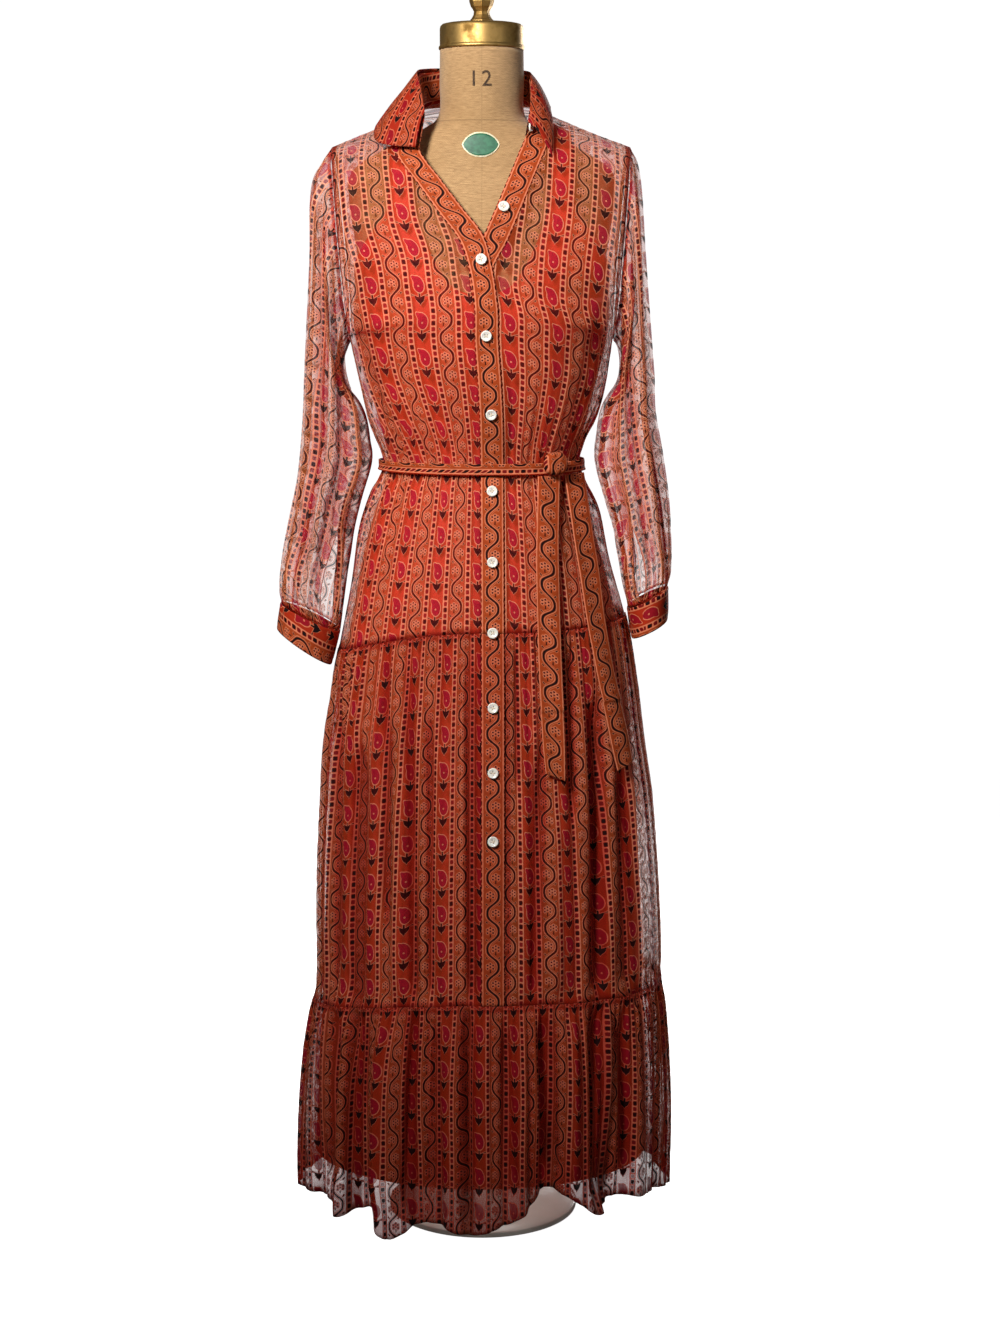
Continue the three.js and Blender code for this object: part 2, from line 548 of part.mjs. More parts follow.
function rufflePoint(angle, v) {
  const top = seamHeight(ruffleSeam, angle) - seamGap;
  const z = lerp(hemAt(angle, 'up'), top, v);
  const out = hemAt(angle, 'out') * (1 - v) ** 0.8;
  const point = dressPoint(angle, z);
  const middle = lineX(z);
  const reach = Math.hypot(point.x - middle, point.y);
  const grow = (reach + out) / reach;
  return new THREE.Vector3(middle + (point.x - middle) * grow, point.y * grow, z);
}

function rufflePanel(name, from, to) {
  const surface = (u, v) => rufflePoint(lerp(from, to, u), v);
  const fold = (column, v) => edgeless(column, ruffleColumns)
    * along(ruffleFine, 'v', 'deep', v) * zigzag(column);
  return cloth(name, printed, [patch(ways(ruffleColumns), ruffleHeights, surface, fold)]);
}

// ---- slip ----
const slipSkirt = [84, 300, 513, 700, 800, 900, beltCentre - seamGap];
const slipTop = [beltCentre + seamGap, 1060, 1150];

function slipPanel(name, towards, heights, upperRows) {
  const middle = towards < 0 ? 0 : Math.PI;
  const half = (side) => {
    const lower = heights.map((z) => {
      const from = ringPoint(slipLevels, middle, z);
      const sideZ = Math.min(z, 1195);
      const to = ringPoint(slipLevels, side * sideTurn, sideZ);
      const round = along(slipLevels, 'z', 'round', z);
      return { x: 0, y: from.y, z, endX: to.x, endY: towards * 0.2, endZ: sideZ, round, rise: 1 };
    });
    const upper = upperRows.map((row) => (
      { ...row, x: side * row.x, endX: side * row.endX, round: 2, rise: 1 }));
    return [...lower, ...upper];
  };
  const patches = [-1, 1].map((side) => {
    const rows = half(side);
    const outward = side * -towards > 0;
    const surface = (u, v) => {
      const toSide = outward ? u : 1 - u;
      return halfPoint(rows, side, v, widthAt(rows, v) * Math.sin(toSide * Math.PI / 2) ** 0.95);
    };
    return patch(ways(slipColumns), rowNumbers(rows), surface);
  });
  return cloth(name, slipCloth, patches);
}

// ---- sleeves ----
const sleeveColumnsOf = ['outX', 'outZ', 'inX', 'inZ', 'depth', 'midY'];

// A quarter turn from the outer line is the front of the sleeve.
function sleevePoint(stations, turn, v) {
  const at = rowAt(stations, sleeveColumnsOf, v);
  const share = (1 + Math.cos(turn)) / 2;
  return new THREE.Vector3(
    lerp(at.inX, at.outX, share),
    at.midY - at.depth * Math.sin(turn),
    lerp(at.inZ, at.outZ, share),
  );
}

// Round the sleeve from its outer line, counter-clockwise seen from above. The edges of the slit
// meet at its top, slit.stations above the cuff.
function sleeve(name, stations, side, slit) {
  const last = stations.length - 1;
  const clear = side * (clothWall + 1.7); // clear of the bodice at the armhole
  const step = 2 * Math.PI / sleeveColumns;
  const vs = rowNumbers(stations).map((i) => last - i);
  const surface = (u, v) => {
    const column = u * sleeveColumns;
    const away = column - slit.column - 0.5;
    const shut = 0.46 * Math.max(0, 1 - Math.abs(v - last + slit.stations) / slit.stations);
    const pull = shut * Math.max(0, 1.1 - Math.abs(away) / 5) ** 2 * Math.sign(away);
    const point = sleevePoint(stations, -side * (column - pull) * step, v);
    return point.add(new THREE.Vector3(clear * Math.max(1 - v, 0), 0, 0));
  };
  const fold = (column, v) => {
    const { fine, soft } = rowAt(stations, ['fine', 'soft'], v);
    const around = column % sleeveColumns;
    return fine * zigzag(around) + soft * Math.sin(around * step * 5 + 0.6) * 0.7 - soft * 0.4;
  };
  const rows = patch(ways(sleeveColumns), vs, surface, fold, true);
  return cloth(name, printed, [rows], {
    skip: (i, j) => i < slit.stations && j === slit.column,
  });
}

function cuff(name, stations, side) {
  const surface = (u, v) => sleevePoint(stations, -side * 2 * Math.PI * u, v);
  return cloth(name, printed, [patch(ways(sleeveColumns), [0, 1], surface)], { wall: doubleWall });
}

// ---- collar ----
function collarPoint(part, station) {
  const rows = collarStations.map((row) => ({ x: row[part][0], y: row[part][1], z: row[part][2] }));
  const { x, y, z } = rowAt(rows, ['x', 'y', 'z'], station);
  return new THREE.Vector3(x, y, z);
}
const lastStation = collarStations.length - 1;
const collarCells = lastStation * collarSteps;
const collarWays = Array.from({ length: collarCells + 1 }, (_, i) => i / collarSteps);

// The stand faces out from the neck; u runs from the wearer's left end round the back.
function collarStand() {
  const surface = (u, v) => collarPoint('base', lastStation - u)
    .lerp(collarPoint('fold', lastStation - u), v);
  return cloth('collar_stand', printed, [patch(collarWays, [0, 0.5, 0.94], surface)]);
}

function collarFall() {
  const surface = (u, v) => {
    const [fold, edge] = ['fold', 'edge'].map((part) => collarPoint(part, lastStation - u));
    const point = edge.clone().lerp(fold, v);
    point.z += 5 * Math.sin(v * Math.PI) + 1.2 * v; // the roll over the fold
    return point;
  };
  return cloth('collar_fall', printed, [patch(collarWays, [0, 0.5, 0.85, 1], surface)],
    { lift: 1.6 });
}

// ---- belt ----
function beltBand() {
  const columns = 48;
  const surface = (u, v) => {
    const angle = u * 2 * Math.PI;
    return dressPoint(angle, beltCentre + (v - 0.5) * beltHeight);
  };
  return cloth('belt_band', printed, [patch(ways(columns), [0, 1], surface)],
    { wall: doubleWall, lift: 5.8 });
}

function beltTail(name, stations, tilt) {
  const us = ways(2);
  const vs = stations.map((_, i) => stations.length - 1 - i);
  const surface = (u, v) => {
    const { z, x, width } = rowAt(stations, ['z', 'x', 'width'], v);
    const slant = v > stations.length - 1.5 ? tilt * (u - 0.5) : 0;
    return dressPoint(angleAt(x + (u - 0.5) * width, z), z + slant);
  };
  return cloth(name, printed, [patch(us, vs, surface)], { wall: doubleWall, lift: tailLift });
}

function beltKnot() {
  const ball = new THREE.SphereGeometry(0.5, 14, 10);
  ball.scale(knot.width, knot.depth, knot.height);
  const mesh = new THREE.Mesh(ball, printed);
  const seat = dressPoint(angleAt(knot.x, knot.z), knot.z);
  mesh.position.copy(seat).add(new THREE.Vector3(0.35, -0.94, 0).multiplyScalar(knot.lift));
  mesh.rotation.z = angleAt(knot.x, knot.z) * 0.7;
  mesh.name = 'belt_knot';
  return mesh;
}

// ---- buttons ----
function button(name, seat, normal) {
  const [r, h] = [buttonRadius, buttonThick];
  const mesh = turned(name, pearl, [[0, 0], [r, 0], [r, h], [r * 0.62, h * 0.7], [0, h * 0.7]], 10);
  mesh.quaternion.setFromUnitVectors(new THREE.Vector3(0, 0, 1), normal.clone().normalize());
  mesh.position.copy(seat);
  return mesh;
}

function placketButton(name, z) {
  const rows = halfRows(-1, -1, rightFrontRows);
  const bandY = (height) => (height > underarm
    ? halfPoint(rows, -1, lowerHeights.length - 1 + (height - underarm) / 45, 0).y
    : dressPoint(0, height).y);
  const reach = buttonRadius + 2;
  const slope = (bandY(z + reach) - bandY(z - reach)) / (2 * reach);
  const normal = new THREE.Vector3(0, -1, slope).normalize();
  const seat = new THREE.Vector3(lineX(z), bandY(z), z);
  return button(name, seat.addScaledVector(normal, lapLift + clothWall + buttonStand), normal);
}

function neckButtonMesh(name) {
  const rows = halfRows(1, -1, leftFrontRows);
  const v = lowerHeights.length + 2.9;
  const start = rowAt(rows, ['x'], v).x;
  const seat = halfPoint(rows, 1, v, neckButton.x - start);
  const normal = new THREE.Vector3(0.12, -1, 0.42).normalize();
  return button(name, seat.addScaledVector(normal, clothWall + buttonStand), normal);
}

function standButtonMesh(name) {
  const { station, up } = standButton;
  const seat = collarPoint('base', station).lerp(collarPoint('fold', station), up);
  const ahead = collarPoint('base', lastStation).sub(collarPoint('base', lastStation - 1));
  const normal = new THREE.Vector3(-ahead.y, ahead.x, 0).normalize();
  return button(name, seat.addScaledVector(normal, clothWall + buttonStand), normal);
}

// ---- dress form and stand ----
function formBody() {
  const corners = [];
  const triangles = [];
  for (const { z, half, front, back } of formLevels) {
    const levels = [{ z, right: half, left: half, front, back, round: z > 1415 ? 2 : formRound }];
    for (let j = 0; j < formSides; j += 1) {
      corners.push(ringPoint(levels, j * 2 * Math.PI / formSides, z));
    }
  }
  const rings = formLevels.length;
  for (let i = 0; i + 1 < rings; i += 1) {
    for (let j = 0; j < formSides; j += 1) {
      const [a, b] = [i * formSides + j, i * formSides + (j + 1) % formSides];
      triangles.push([a, b, b + formSides], [a, b + formSides, a + formSides]);
    }
  }
  const top = (rings - 1) * formSides;
  corners.push(new THREE.Vector3(0, 0, formLevels[0].z));
  corners.push(new THREE.Vector3(0, 0, formLevels[rings - 1].z));
  const [low, high] = [corners.length - 2, corners.length - 1];
  for (let j = 0; j < formSides; j += 1) {
    const next = (j + 1) % formSides;
    triangles.push([low, next, j], [high, top + j, top + next]);
  }
  return meshFrom('form_body', linen, corners, triangles);
}

function neckCap() {
  const { low, high, radius } = cap;
  return turned('neck_cap', brass, [[0, low], [radius + 1.2, low], [radius + 1.2, low + 4],
    [radius, low + 5], [radius, high - 4], [radius - 2.5, high - 0.6], [radius - 6, high],
    [0, high]], 20);
}

function finial() {
  const foot = cap.high + formGap;
  return turned('neck_finial', brass, [[0, foot], [15.5, foot], [15.5, foot + 4],
    [10, foot + 12], [10, foot + 16], [14, foot + 21], [16, foot + 30], [14, foot + 39],
    [7, foot + 46], [0, foot + 48]], 8);
}

function stand() {
  const { radius, height } = base;
  const foot = turned('stand_base', enamel, [[0, 0], [radius, 0], [radius, 8],
    [radius * 0.85, height * 0.55], [radius * 0.3, height], [0, height]], 32);
  const post = turned('stand_pole', enamel, [[0, height + formGap], [pole.radius, height + formGap],
    [pole.radius, pole.top], [0, pole.top]], 12);
  return [foot, post];
}

// ---- the whole ----
const dress = new THREE.Group();
dress.add(formBody(), neckCap(), finial(), ...stand());
dress.add(
  slipPanel('slip_skirt_front', -1, slipSkirt, []),
  slipPanel('slip_skirt_back', 1, slipSkirt, []),
  slipPanel('slip_top_front', -1, [...slipTop, 1195], slipFrontRows),
  slipPanel('slip_top_back', 1, [...slipTop, 1215], slipBackRows),
);
dress.add(
  bodiceFront('bodice_front_right', -1, rightFrontRows),
  bodiceFront('bodice_front_left', 1, leftFrontRows),
  bodiceBack(),
  buttonBand('placket_upper', -1, rightFrontRows, lapLift),
  buttonBand('placket_under', 1, leftFrontRows, 0),
);
dress.add(
  sleeve('sleeve_right', rightSleeve, -1, rightSlit),
  sleeve('sleeve_left', leftSleeve, 1, leftSlit),
  cuff('cuff_right', rightCuff, -1),
  cuff('cuff_left', leftCuff, 1),
);
dress.add(collarStand(), collarFall());
const halfBand = bandWidth / 2 + seamGap;
dress.add(
  skirtPanel('skirt_front_right', () => -sideTurn + sideGap, (v) => bandAngle(v, -halfBand),
    skirtFrontColumns),
  skirtPanel('skirt_front_left', (v) => bandAngle(v, halfBand),
    () => sideTurn - sideGap, skirtFrontColumns),
  skirtPanel('skirt_back', () => sideTurn + sideGap, () => 3 * sideTurn - sideGap,
    skirtFrontColumns * 2),
  skirtBand(),
);
dress.add(
  rufflePanel('ruffle_front', -sideTurn + sideGap, sideTurn - sideGap),
  rufflePanel('ruffle_back', sideTurn + sideGap, 3 * sideTurn - sideGap),
);
dress.add(beltBand(), beltKnot(), beltTail('belt_tail_front', frontTail, -11),
  beltTail('belt_tail_back', backTail, 6));
dress.add(standButtonMesh('button_1'), neckButtonMesh('button_2'));
placketButtons.forEach((z, i) => dress.add(placketButton(`button_${i + 3}`, z)));

export default dress;
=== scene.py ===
# A sheer block-printed shirt dress over its slip, on a linen dress form.
# Tables and shape functions are in millimetres, meshes in metres.
# +Z is up, the front faces -Y and +X is the wearer's left.
import math

import bmesh
import bpy
import numpy as np
from mathutils import Matrix, Vector


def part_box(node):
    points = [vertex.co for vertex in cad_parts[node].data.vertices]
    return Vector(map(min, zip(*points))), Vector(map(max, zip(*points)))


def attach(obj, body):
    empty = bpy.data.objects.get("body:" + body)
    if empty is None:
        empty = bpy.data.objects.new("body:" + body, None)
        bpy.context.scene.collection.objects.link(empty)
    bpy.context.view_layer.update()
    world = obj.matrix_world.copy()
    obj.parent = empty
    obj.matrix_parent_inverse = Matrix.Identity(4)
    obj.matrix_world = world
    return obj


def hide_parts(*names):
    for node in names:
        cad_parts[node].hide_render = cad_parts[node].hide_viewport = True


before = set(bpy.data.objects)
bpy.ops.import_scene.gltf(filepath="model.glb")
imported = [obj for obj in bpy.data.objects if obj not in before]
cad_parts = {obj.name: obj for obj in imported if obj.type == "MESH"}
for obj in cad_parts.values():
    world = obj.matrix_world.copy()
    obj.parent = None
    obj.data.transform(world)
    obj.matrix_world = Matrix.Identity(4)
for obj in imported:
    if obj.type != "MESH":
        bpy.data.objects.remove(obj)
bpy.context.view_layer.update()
mm = 0.001


# ---- reading tables ----
def table(columns, *rows):
    return {name: np.array([row[k] for row in rows], float)
            for k, name in enumerate(columns.split())}


def along(rows, by, key, at):  # smooth curve through a column, level beyond its ends
    xs, ys = (rows[by] if by else np.arange(len(rows[key]), dtype=float)), rows[key]
    at = np.clip(np.asarray(at, float), xs[0], xs[-1])
    slope = np.empty_like(ys)
    slope[0] = (ys[1] - ys[0]) / (xs[1] - xs[0])
    slope[-1] = (ys[-1] - ys[-2]) / (xs[-1] - xs[-2])
    slope[1:-1] = (ys[2:] - ys[:-2]) / (xs[2:] - xs[:-2])
    i = np.clip(np.searchsorted(xs, at, side="right") - 1, 0, len(xs) - 2)
    step = xs[i + 1] - xs[i]
    t = (at - xs[i]) / step
    return (ys[i] * (2 * t**3 - 3 * t**2 + 1) + ys[i + 1] * (3 * t**2 - 2 * t**3)
            + step * (slope[i] * (t**3 - 2 * t**2 + t) + slope[i + 1] * (t**3 - t**2)))


def rowAt(rows, key, v):
    return along(rows, None, key, v)


def lerp(a, b, t):
    return a + (b - a) * t


def point(x, y, z):
    return np.stack(np.broadcast_arrays(x, y, z), -1).astype(float)


def signedPower(value, power):
    return np.sign(value) * np.abs(value) ** power


# ---- sizes of the dress, as the fixed frame has them ----
underarm = 1150
hipSeam = {"front": 791, "right": 756, "left": 800, "back": 778}
ruffleSeam = {"front": 326, "right": 292, "left": 318, "back": 306}
beltCentre, beltHeight = 993, 17
bandWidth, lapLift = 29, 1.8

dressLevels = table(
    "z right left front back round",
    (15, 236, 242, 200, 192, 2.0), (60, 238, 243, 199, 191, 2.0), (130, 238, 245, 195, 188, 2.0),
    (210, 234, 243, 189, 183, 2.05), (280, 226, 239, 181, 176, 2.05), (320, 218, 235, 174, 169, 2.05),
    (400, 217, 232, 168, 163, 2.1), (480, 215, 227, 160, 156, 2.1), (565, 210, 219, 151, 149, 2.15),
    (635, 205, 208, 143, 142, 2.2), (700, 195, 200, 134, 135, 2.2), (755, 186, 192, 127, 129, 2.25),
    (800, 176, 184, 121, 125, 2.25), (870, 164, 164, 113, 115, 2.2), (935, 153, 150, 104, 102, 2.15),
    (972, 134, 132, 97, 91, 2.1), (993, 125, 124, 93, 85, 2.1), (1014, 131, 127, 97, 88, 2.1),
    (1055, 146, 146, 109, 98, 2.2), (1100, 156, 158, 117, 106, 2.3), (1150, 167, 165, 122, 112, 2.4))
buttonLine = table("z x", (20, 14), (700, 14), (960, 13), (1063, 12), (1160, 6), (1250, 0), (1282, 2))

sleeveColumns = "outX outZ inX inZ depth midY"
rightSleeve = table(
    sleeveColumns,
    (-188, 1391, -167, 1150, 72, 2), (-201, 1375, -172, 1141, 75, 2), (-214, 1345, -175, 1122, 77, 2),
    (-216, 1268, -171, 1095, 76, 1), (-221, 1175, -154, 1057, 72, 0), (-227, 1068, -148, 1024, 69, -3),
    (-233, 1005, -146, 996, 67, -6), (-244, 940, -160, 945, 65, -10), (-253, 880, -174, 872, 60, -15),
    (-258, 842, -181, 818, 50, -20), (-257, 819, -184, 783, 38, -23))
leftSleeve = table(
    sleeveColumns,
    (186, 1391, 166, 1150, 72, 2), (195, 1373, 171, 1141, 75, 2), (200, 1335, 175, 1120, 77, 2),
    (204, 1268, 171, 1095, 76, 1), (211, 1175, 155, 1057, 72, 0), (220, 1068, 149, 1026, 69, -3),
    (229, 1005, 147, 996, 67, -6), (237, 945, 160, 945, 65, -10), (240, 893, 175, 885, 58, -15),
    (240, 860, 182, 842, 48, -20), (237, 840, 187, 813, 38, -23))
rightCuff = table(sleeveColumns, (-262, 784, -196, 738, 37, -26), (-257.5, 817.4, -184, 781.4, 39, -23))
leftCuff = table(sleeveColumns, (236, 796, 194, 772, 37, -26), (237.5, 838, 187, 811, 39, -23))

# Rows above the underarm: the neck edge, and where on the armhole the row ends.
rightFrontRows = table(
    "x y z armhole lap round",
    (6, -126, 1195, 155, 14.5, 2.4), (0, -120, 1240, 132, 14.5, 2.3), (2, -112, 1281, 108, 0, 2.2),
    (-24, -101, 1314, 85, 0, 2.1), (-50, -88, 1348, 62, 0, 2.0), (-75, -72, 1382, 40, 0, 2.0),
    (-79, -38, 1414, 20, 0, 2.0), (-74, -0.3, 1437, 0, 0, 2.0))
leftFrontRows = table(
    "x y z armhole lap round",
    (6, -126, 1195, 155, 14.5, 2.4), (0, -120, 1240, 132, 14.5, 2.3), (3.5, -112.2, 1281.5, 108, 0, 2.2),
    (20, -102, 1319, 85, 0, 2.1), (36, -88, 1357, 62, 0, 2.0), (52, -64, 1395, 40, 0, 2.0),
    (64, -34, 1417, 20, 0, 2.0), (62, -0.3, 1435, 0, 0, 2.0))
backRows = table(
    "rightX leftX y z armhole lap round",
    (0, 0, 113, 1195, 155, 0, 2.4), (0, 0, 110, 1240, 132, 0, 2.3), (0, 0, 105, 1290, 108, 0, 2.2),
    (0, 0, 98, 1335, 85, 0, 2.1), (0, 0, 89, 1378, 62, 0, 2.0), (0, 0, 77, 1418, 42, 0, 2.0),
    (0, 0, 65, 1452, 28, 0, 2.0), (-34, 32, 59, 1451, 18, 0, 2.0), (-62, 56, 38, 1446, 9, 0, 2.0),
    (-74, 62, 0.3, 1436, 0, 0, 2.0))
lowerHeights = np.array([0, 0.21, 0.39, 0.5, 0.56, 0.62, 0.74, 0.87, 1])  # hip seam to underarm
beltRow = 4  # the row under the belt
bandEndRow = len(lowerHeights) + 5  # where the button band meets the collar


def ringPoint(levels, angle, z, centre=0.0):  # angle 0 is the front, and it grows towards +X
    power = 2 / along(levels, "z", "round", z)
    s, c = np.sin(angle), np.cos(angle)
    across = np.where(s < 0, along(levels, "z", "right", z) + centre,
                      along(levels, "z", "left", z) - centre)
    deep = np.where(c > 0, along(levels, "z", "front", z), along(levels, "z", "back", z))
    return point(centre + across * signedPower(s, power), -deep * signedPower(c, power), z)


def lineX(z):
    return along(buttonLine, "z", "x", z)


def dressPoint(angle, z):
    return ringPoint(dressLevels, angle, z, lineX(z))


def seamHeight(seamAndShade, angle):
    side = np.where(np.sin(angle) < 0, seamAndShade["right"], seamAndShade["left"])
    middle = np.where(np.cos(angle) > 0, seamAndShade["front"], seamAndShade["back"])
    return lerp(middle, side, np.sin(angle) ** 2)


def angleAt(x, z):  # where the front of the dress reaches x
    centre = lineX(z)
    reach = np.where(x < centre, along(dressLevels, "z", "right", z) + centre,
                     along(dressLevels, "z", "left", z) - centre)
    share = signedPower((x - centre) / reach, along(dressLevels, "z", "round", z) / 2)
    return np.arcsin(np.clip(share, -1, 1))


def halfRows(side, towards, upper):  # rows of half a panel, from its middle line or neck to its side
    sleeve = rightSleeve if side < 0 else leftSleeve
    middle, edge = (0.0 if towards < 0 else math.pi), side * math.pi / 2
    start = lerp(seamHeight(hipSeam, middle), underarm, lowerHeights)
    end = lerp(seamHeight(hipSeam, edge), underarm, lowerHeights)
    near, far = dressPoint(middle, start), dressPoint(edge, end)
    bow = along(dressLevels, "z", "round", start)
    turn = np.radians(upper["armhole"])
    share = (1 + np.cos(turn)) / 2
    first = {key: sleeve[key][0] for key in sleeve}
    x = upper["x"] if "x" in upper else upper["rightX" if side < 0 else "leftX"]
    pairs = {
        "x": (near[:, 0], x), "y": (near[:, 1], upper["y"]), "z": (start, upper["z"]),
        "endX": (far[:, 0], lerp(first["inX"], first["outX"], share)),
        "endY": (start * 0, (first["midY"] + towards * first["depth"]) * np.sin(turn)),
        "endZ": (end, lerp(first["inZ"], first["outZ"], share)),
        "round": (bow, upper["round"]), "rise": (bow, x * 0 + 1),
        "lap": (start * 0 + bandWidth / 2, upper["lap"])}
    return {key: np.concatenate(pair) for key, pair in pairs.items()}


def halfPoint(rows, side, v, off):  # off is measured across from the row's start
    row = {key: rowAt(rows, key, v) for key in ("x", "y", "z", "endX", "endY", "endZ", "round", "rise")}
    share = np.clip(np.abs(off) / np.abs(row["endX"] - row["x"]), 0, 1)
    bow = (1 - share ** row["round"]) ** (1 / row["round"])
    return point(row["x"] + side * off, row["endY"] + (row["y"] - row["endY"]) * bow,
                 row["z"] + (row["endZ"] - row["z"]) * share ** row["rise"])


def widthAt(rows, v):
    return np.abs(rowAt(rows, "endX", v) - rowAt(rows, "x", v))


def bandOffset(rows, v):
    return bandWidth * np.clip(bandEndRow + 1 - v, 0.04, 1) - rowAt(rows, "lap", v)


def sleevePoint(stations, turn, v):  # a quarter turn from the outer line is the front
    at = {key: rowAt(stations, key, v) for key in stations}
    share = (1 + np.cos(turn)) / 2
    return point(lerp(at["inX"], at["outX"], share), at["midY"] - at["depth"] * np.sin(turn),
                 lerp(at["inZ"], at["outZ"], share))


# ---- folds ----
def wander(at, seed):  # smooth unevenness, about -1 to 1
    return (0.5 * np.sin(at + seed * 1.7) + 0.33 * np.sin(at * 2.23 + seed * 4.1)
            + 0.3 * np.sin(at * 0.47 + seed * 2.9))


def pleats(at, spacing, seed, sharp=1.3):  # rounded crests, narrow troughs, uneven spacing
    phase = math.pi * at / spacing + 0.9 * wander(at / (spacing * 1.9), seed)
    size = 0.72 + 0.34 * wander(at / (spacing * 2.7), seed + 5)
    return (2 * np.abs(np.sin(phase)) ** sharp - 1) * size


creaseSpread, tierCrease = 1.25, 2.3  # the skirt and ruffle creases are deeper than their tables say


def creaseTable(*rows):
    return table("x z toX toZ depth wide", *rows)


def creases(rows, x, z):  # soft troughs, or ridges where depth is negative, each along a line
    total = x * 0
    for x0, z0, x1, z1, depth, wide in zip(*rows.values()):
        dx, dz = x1 - x0, z1 - z0
        t = ((x - x0) * dx + (z - z0) * dz) / (dx * dx + dz * dz)
        away = x - x0 - t * dx
        ends = np.clip(np.minimum(t, 1 - t) * 4 + 0.35, 0, 1)
        total = total - depth * np.exp(-(away / (wide * creaseSpread)) ** 2) * ends * ends * (3 - 2 * ends)
    return total


def crinkle(x, y, seed, size=0.22):  # the uneven surface of crepe
    return size * (np.sin(x / 2.9 + 1.5 * wander(y / 11, seed)) * np.sin(y / 5.3 + 1.2 * wander(x / 9, seed + 3))
                   + 0.8 * wander(x / 21 + y / 47, seed + 7))


def stitchedRim(rim, soft, line, wide, deep=0.35):  # a rounded edge with a line of stitches along it
    return 0.5 * np.clip(rim / soft, 0, 1) - deep * np.exp(-((rim - line) / wide) ** 2)


# ---- cloth sheets ----
def runOn(base, axis):  # length of cloth from the first row or column
    steps = np.linalg.norm(np.diff(base, axis=axis), axis=-1)
    return np.concatenate([np.zeros_like(base.take([0], axis)[..., 0]), np.cumsum(steps, axis=axis)], axis=axis)


def lattice(columns, rows, surface, closed=False):
    v, u = np.meshgrid(np.linspace(0, 1, rows + 1), np.linspace(0, 1, columns + 1), indexing="ij")
    base = surface(u, v)
    alongU, alongV = np.gradient(base, axis=1), np.gradient(base, axis=0)
    if closed:
        alongU[:, 0] = alongU[:, -1] = base[:, 1] - base[:, -2]
    normal = np.cross(alongU, alongV)
    normal /= np.linalg.norm(normal, axis=-1, keepdims=True) + 1e-12
    across, up = runOn(base, 1), runOn(base, 0)
    return {"u": u, "v": v, "base": base, "normal": normal, "across": across, "up": up, "width": across[:, -1:],
            "toSide": np.minimum(across, across[:, -1:] - across), "toTop": up[-1] - up,
            "x": base[..., 0], "y": base[..., 1], "z": base[..., 2], "size": (columns, rows)}


def gridVerts(bm, grid, fold):  # the lattice as a mesh: each vertex with its row and column
    columns, rows = grid["size"]
    where = (grid["base"] + grid["normal"] * fold[..., None]) * mm
    found = {}
    for vert in bmesh.ops.create_grid(bm, x_segments=columns, y_segments=rows, size=0.5)["verts"]:
        spot = round((vert.co.y + 0.5) * rows), round((vert.co.x + 0.5) * columns)
        vert.co = where[spot]
        found[vert] = spot
    return found


def sheetMesh(name, parts, material, wall=0.6, merge=0.12):
    # each part: a lattice, its fold, its x and y on the print, and how far the cloth lies double there, with painted
    # shade added in the fold troughs and near the ruffle's hem
    bm = bmesh.new()
    clothUv = bm.loops.layers.uv.new("cloth")
    # the doubled layer holds real double cloth at seams and hems, and painted shade in fold troughs
    thick = bm.verts.layers.float.new("doubled")
    for grid, fold, printX, printY, doublingAndShade in parts:
        found = gridVerts(bm, grid, fold)
        uv = np.stack([printX, printY], -1) * mm
        doublingAndShade = np.broadcast_to(np.asarray(doublingAndShade, float), fold.shape)
        for vert, spot in found.items():
            vert[thick] = doublingAndShade[spot]
        for face in {f for vert in found for f in vert.link_faces}:
            face.smooth = True
            for loop in face.loops:
                loop[clothUv].uv = uv[found[loop.vert]]
    bmesh.ops.remove_doubles(bm, verts=bm.verts, dist=merge * mm)
    return finishMesh(name, bm, material, wall)


def finishMesh(name, bm, material, wall=0.0):
    mesh = bpy.data.meshes.new(name)
    bm.to_mesh(mesh)
    bm.free()
    mesh.materials.append(material)
    piece = bpy.data.objects.new(name, mesh)
    bpy.context.scene.collection.objects.link(piece)
    if wall:
        shell = piece.modifiers.new("cloth wall", "SOLIDIFY")
        shell.thickness, shell.offset = wall * mm, -1
    return piece


def place(piece, slot, *nodes):
    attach(piece, "root")
    if nodes:
        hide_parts(*nodes)


def sew(piece, slot, node, width, length, share, held, restsOn):  # places the piece and hides the CAD part it takes over; width, length and share describe the flat cloth before it was sewn
    place(piece, slot, node)
    width * length * share


def nearEdge(distance, wide):  # 1 on a seam allowance or hem, 0 on single cloth
    return np.clip((wide - distance) / 1.5 + 0.5, 0, 1)


def folded(fold, base):  # painted shade in the fold troughs: the deeper a trough sinks, the denser and darker the cloth is made there, over a base level
    return np.clip(base + 0.85 * np.clip((-fold - 0.8) / 7, 0, 1), 0, 1)


# ---- colours ----
def rgb(hexText):  # sRGB to linear
    parts = [int(hexText[i:i + 2], 16) / 255 for i in (0, 2, 4)]
    return [*(c / 12.92 if c < 0.04045 else ((c + 0.055) / 1.055) ** 2.4 for c in parts), 1.0]


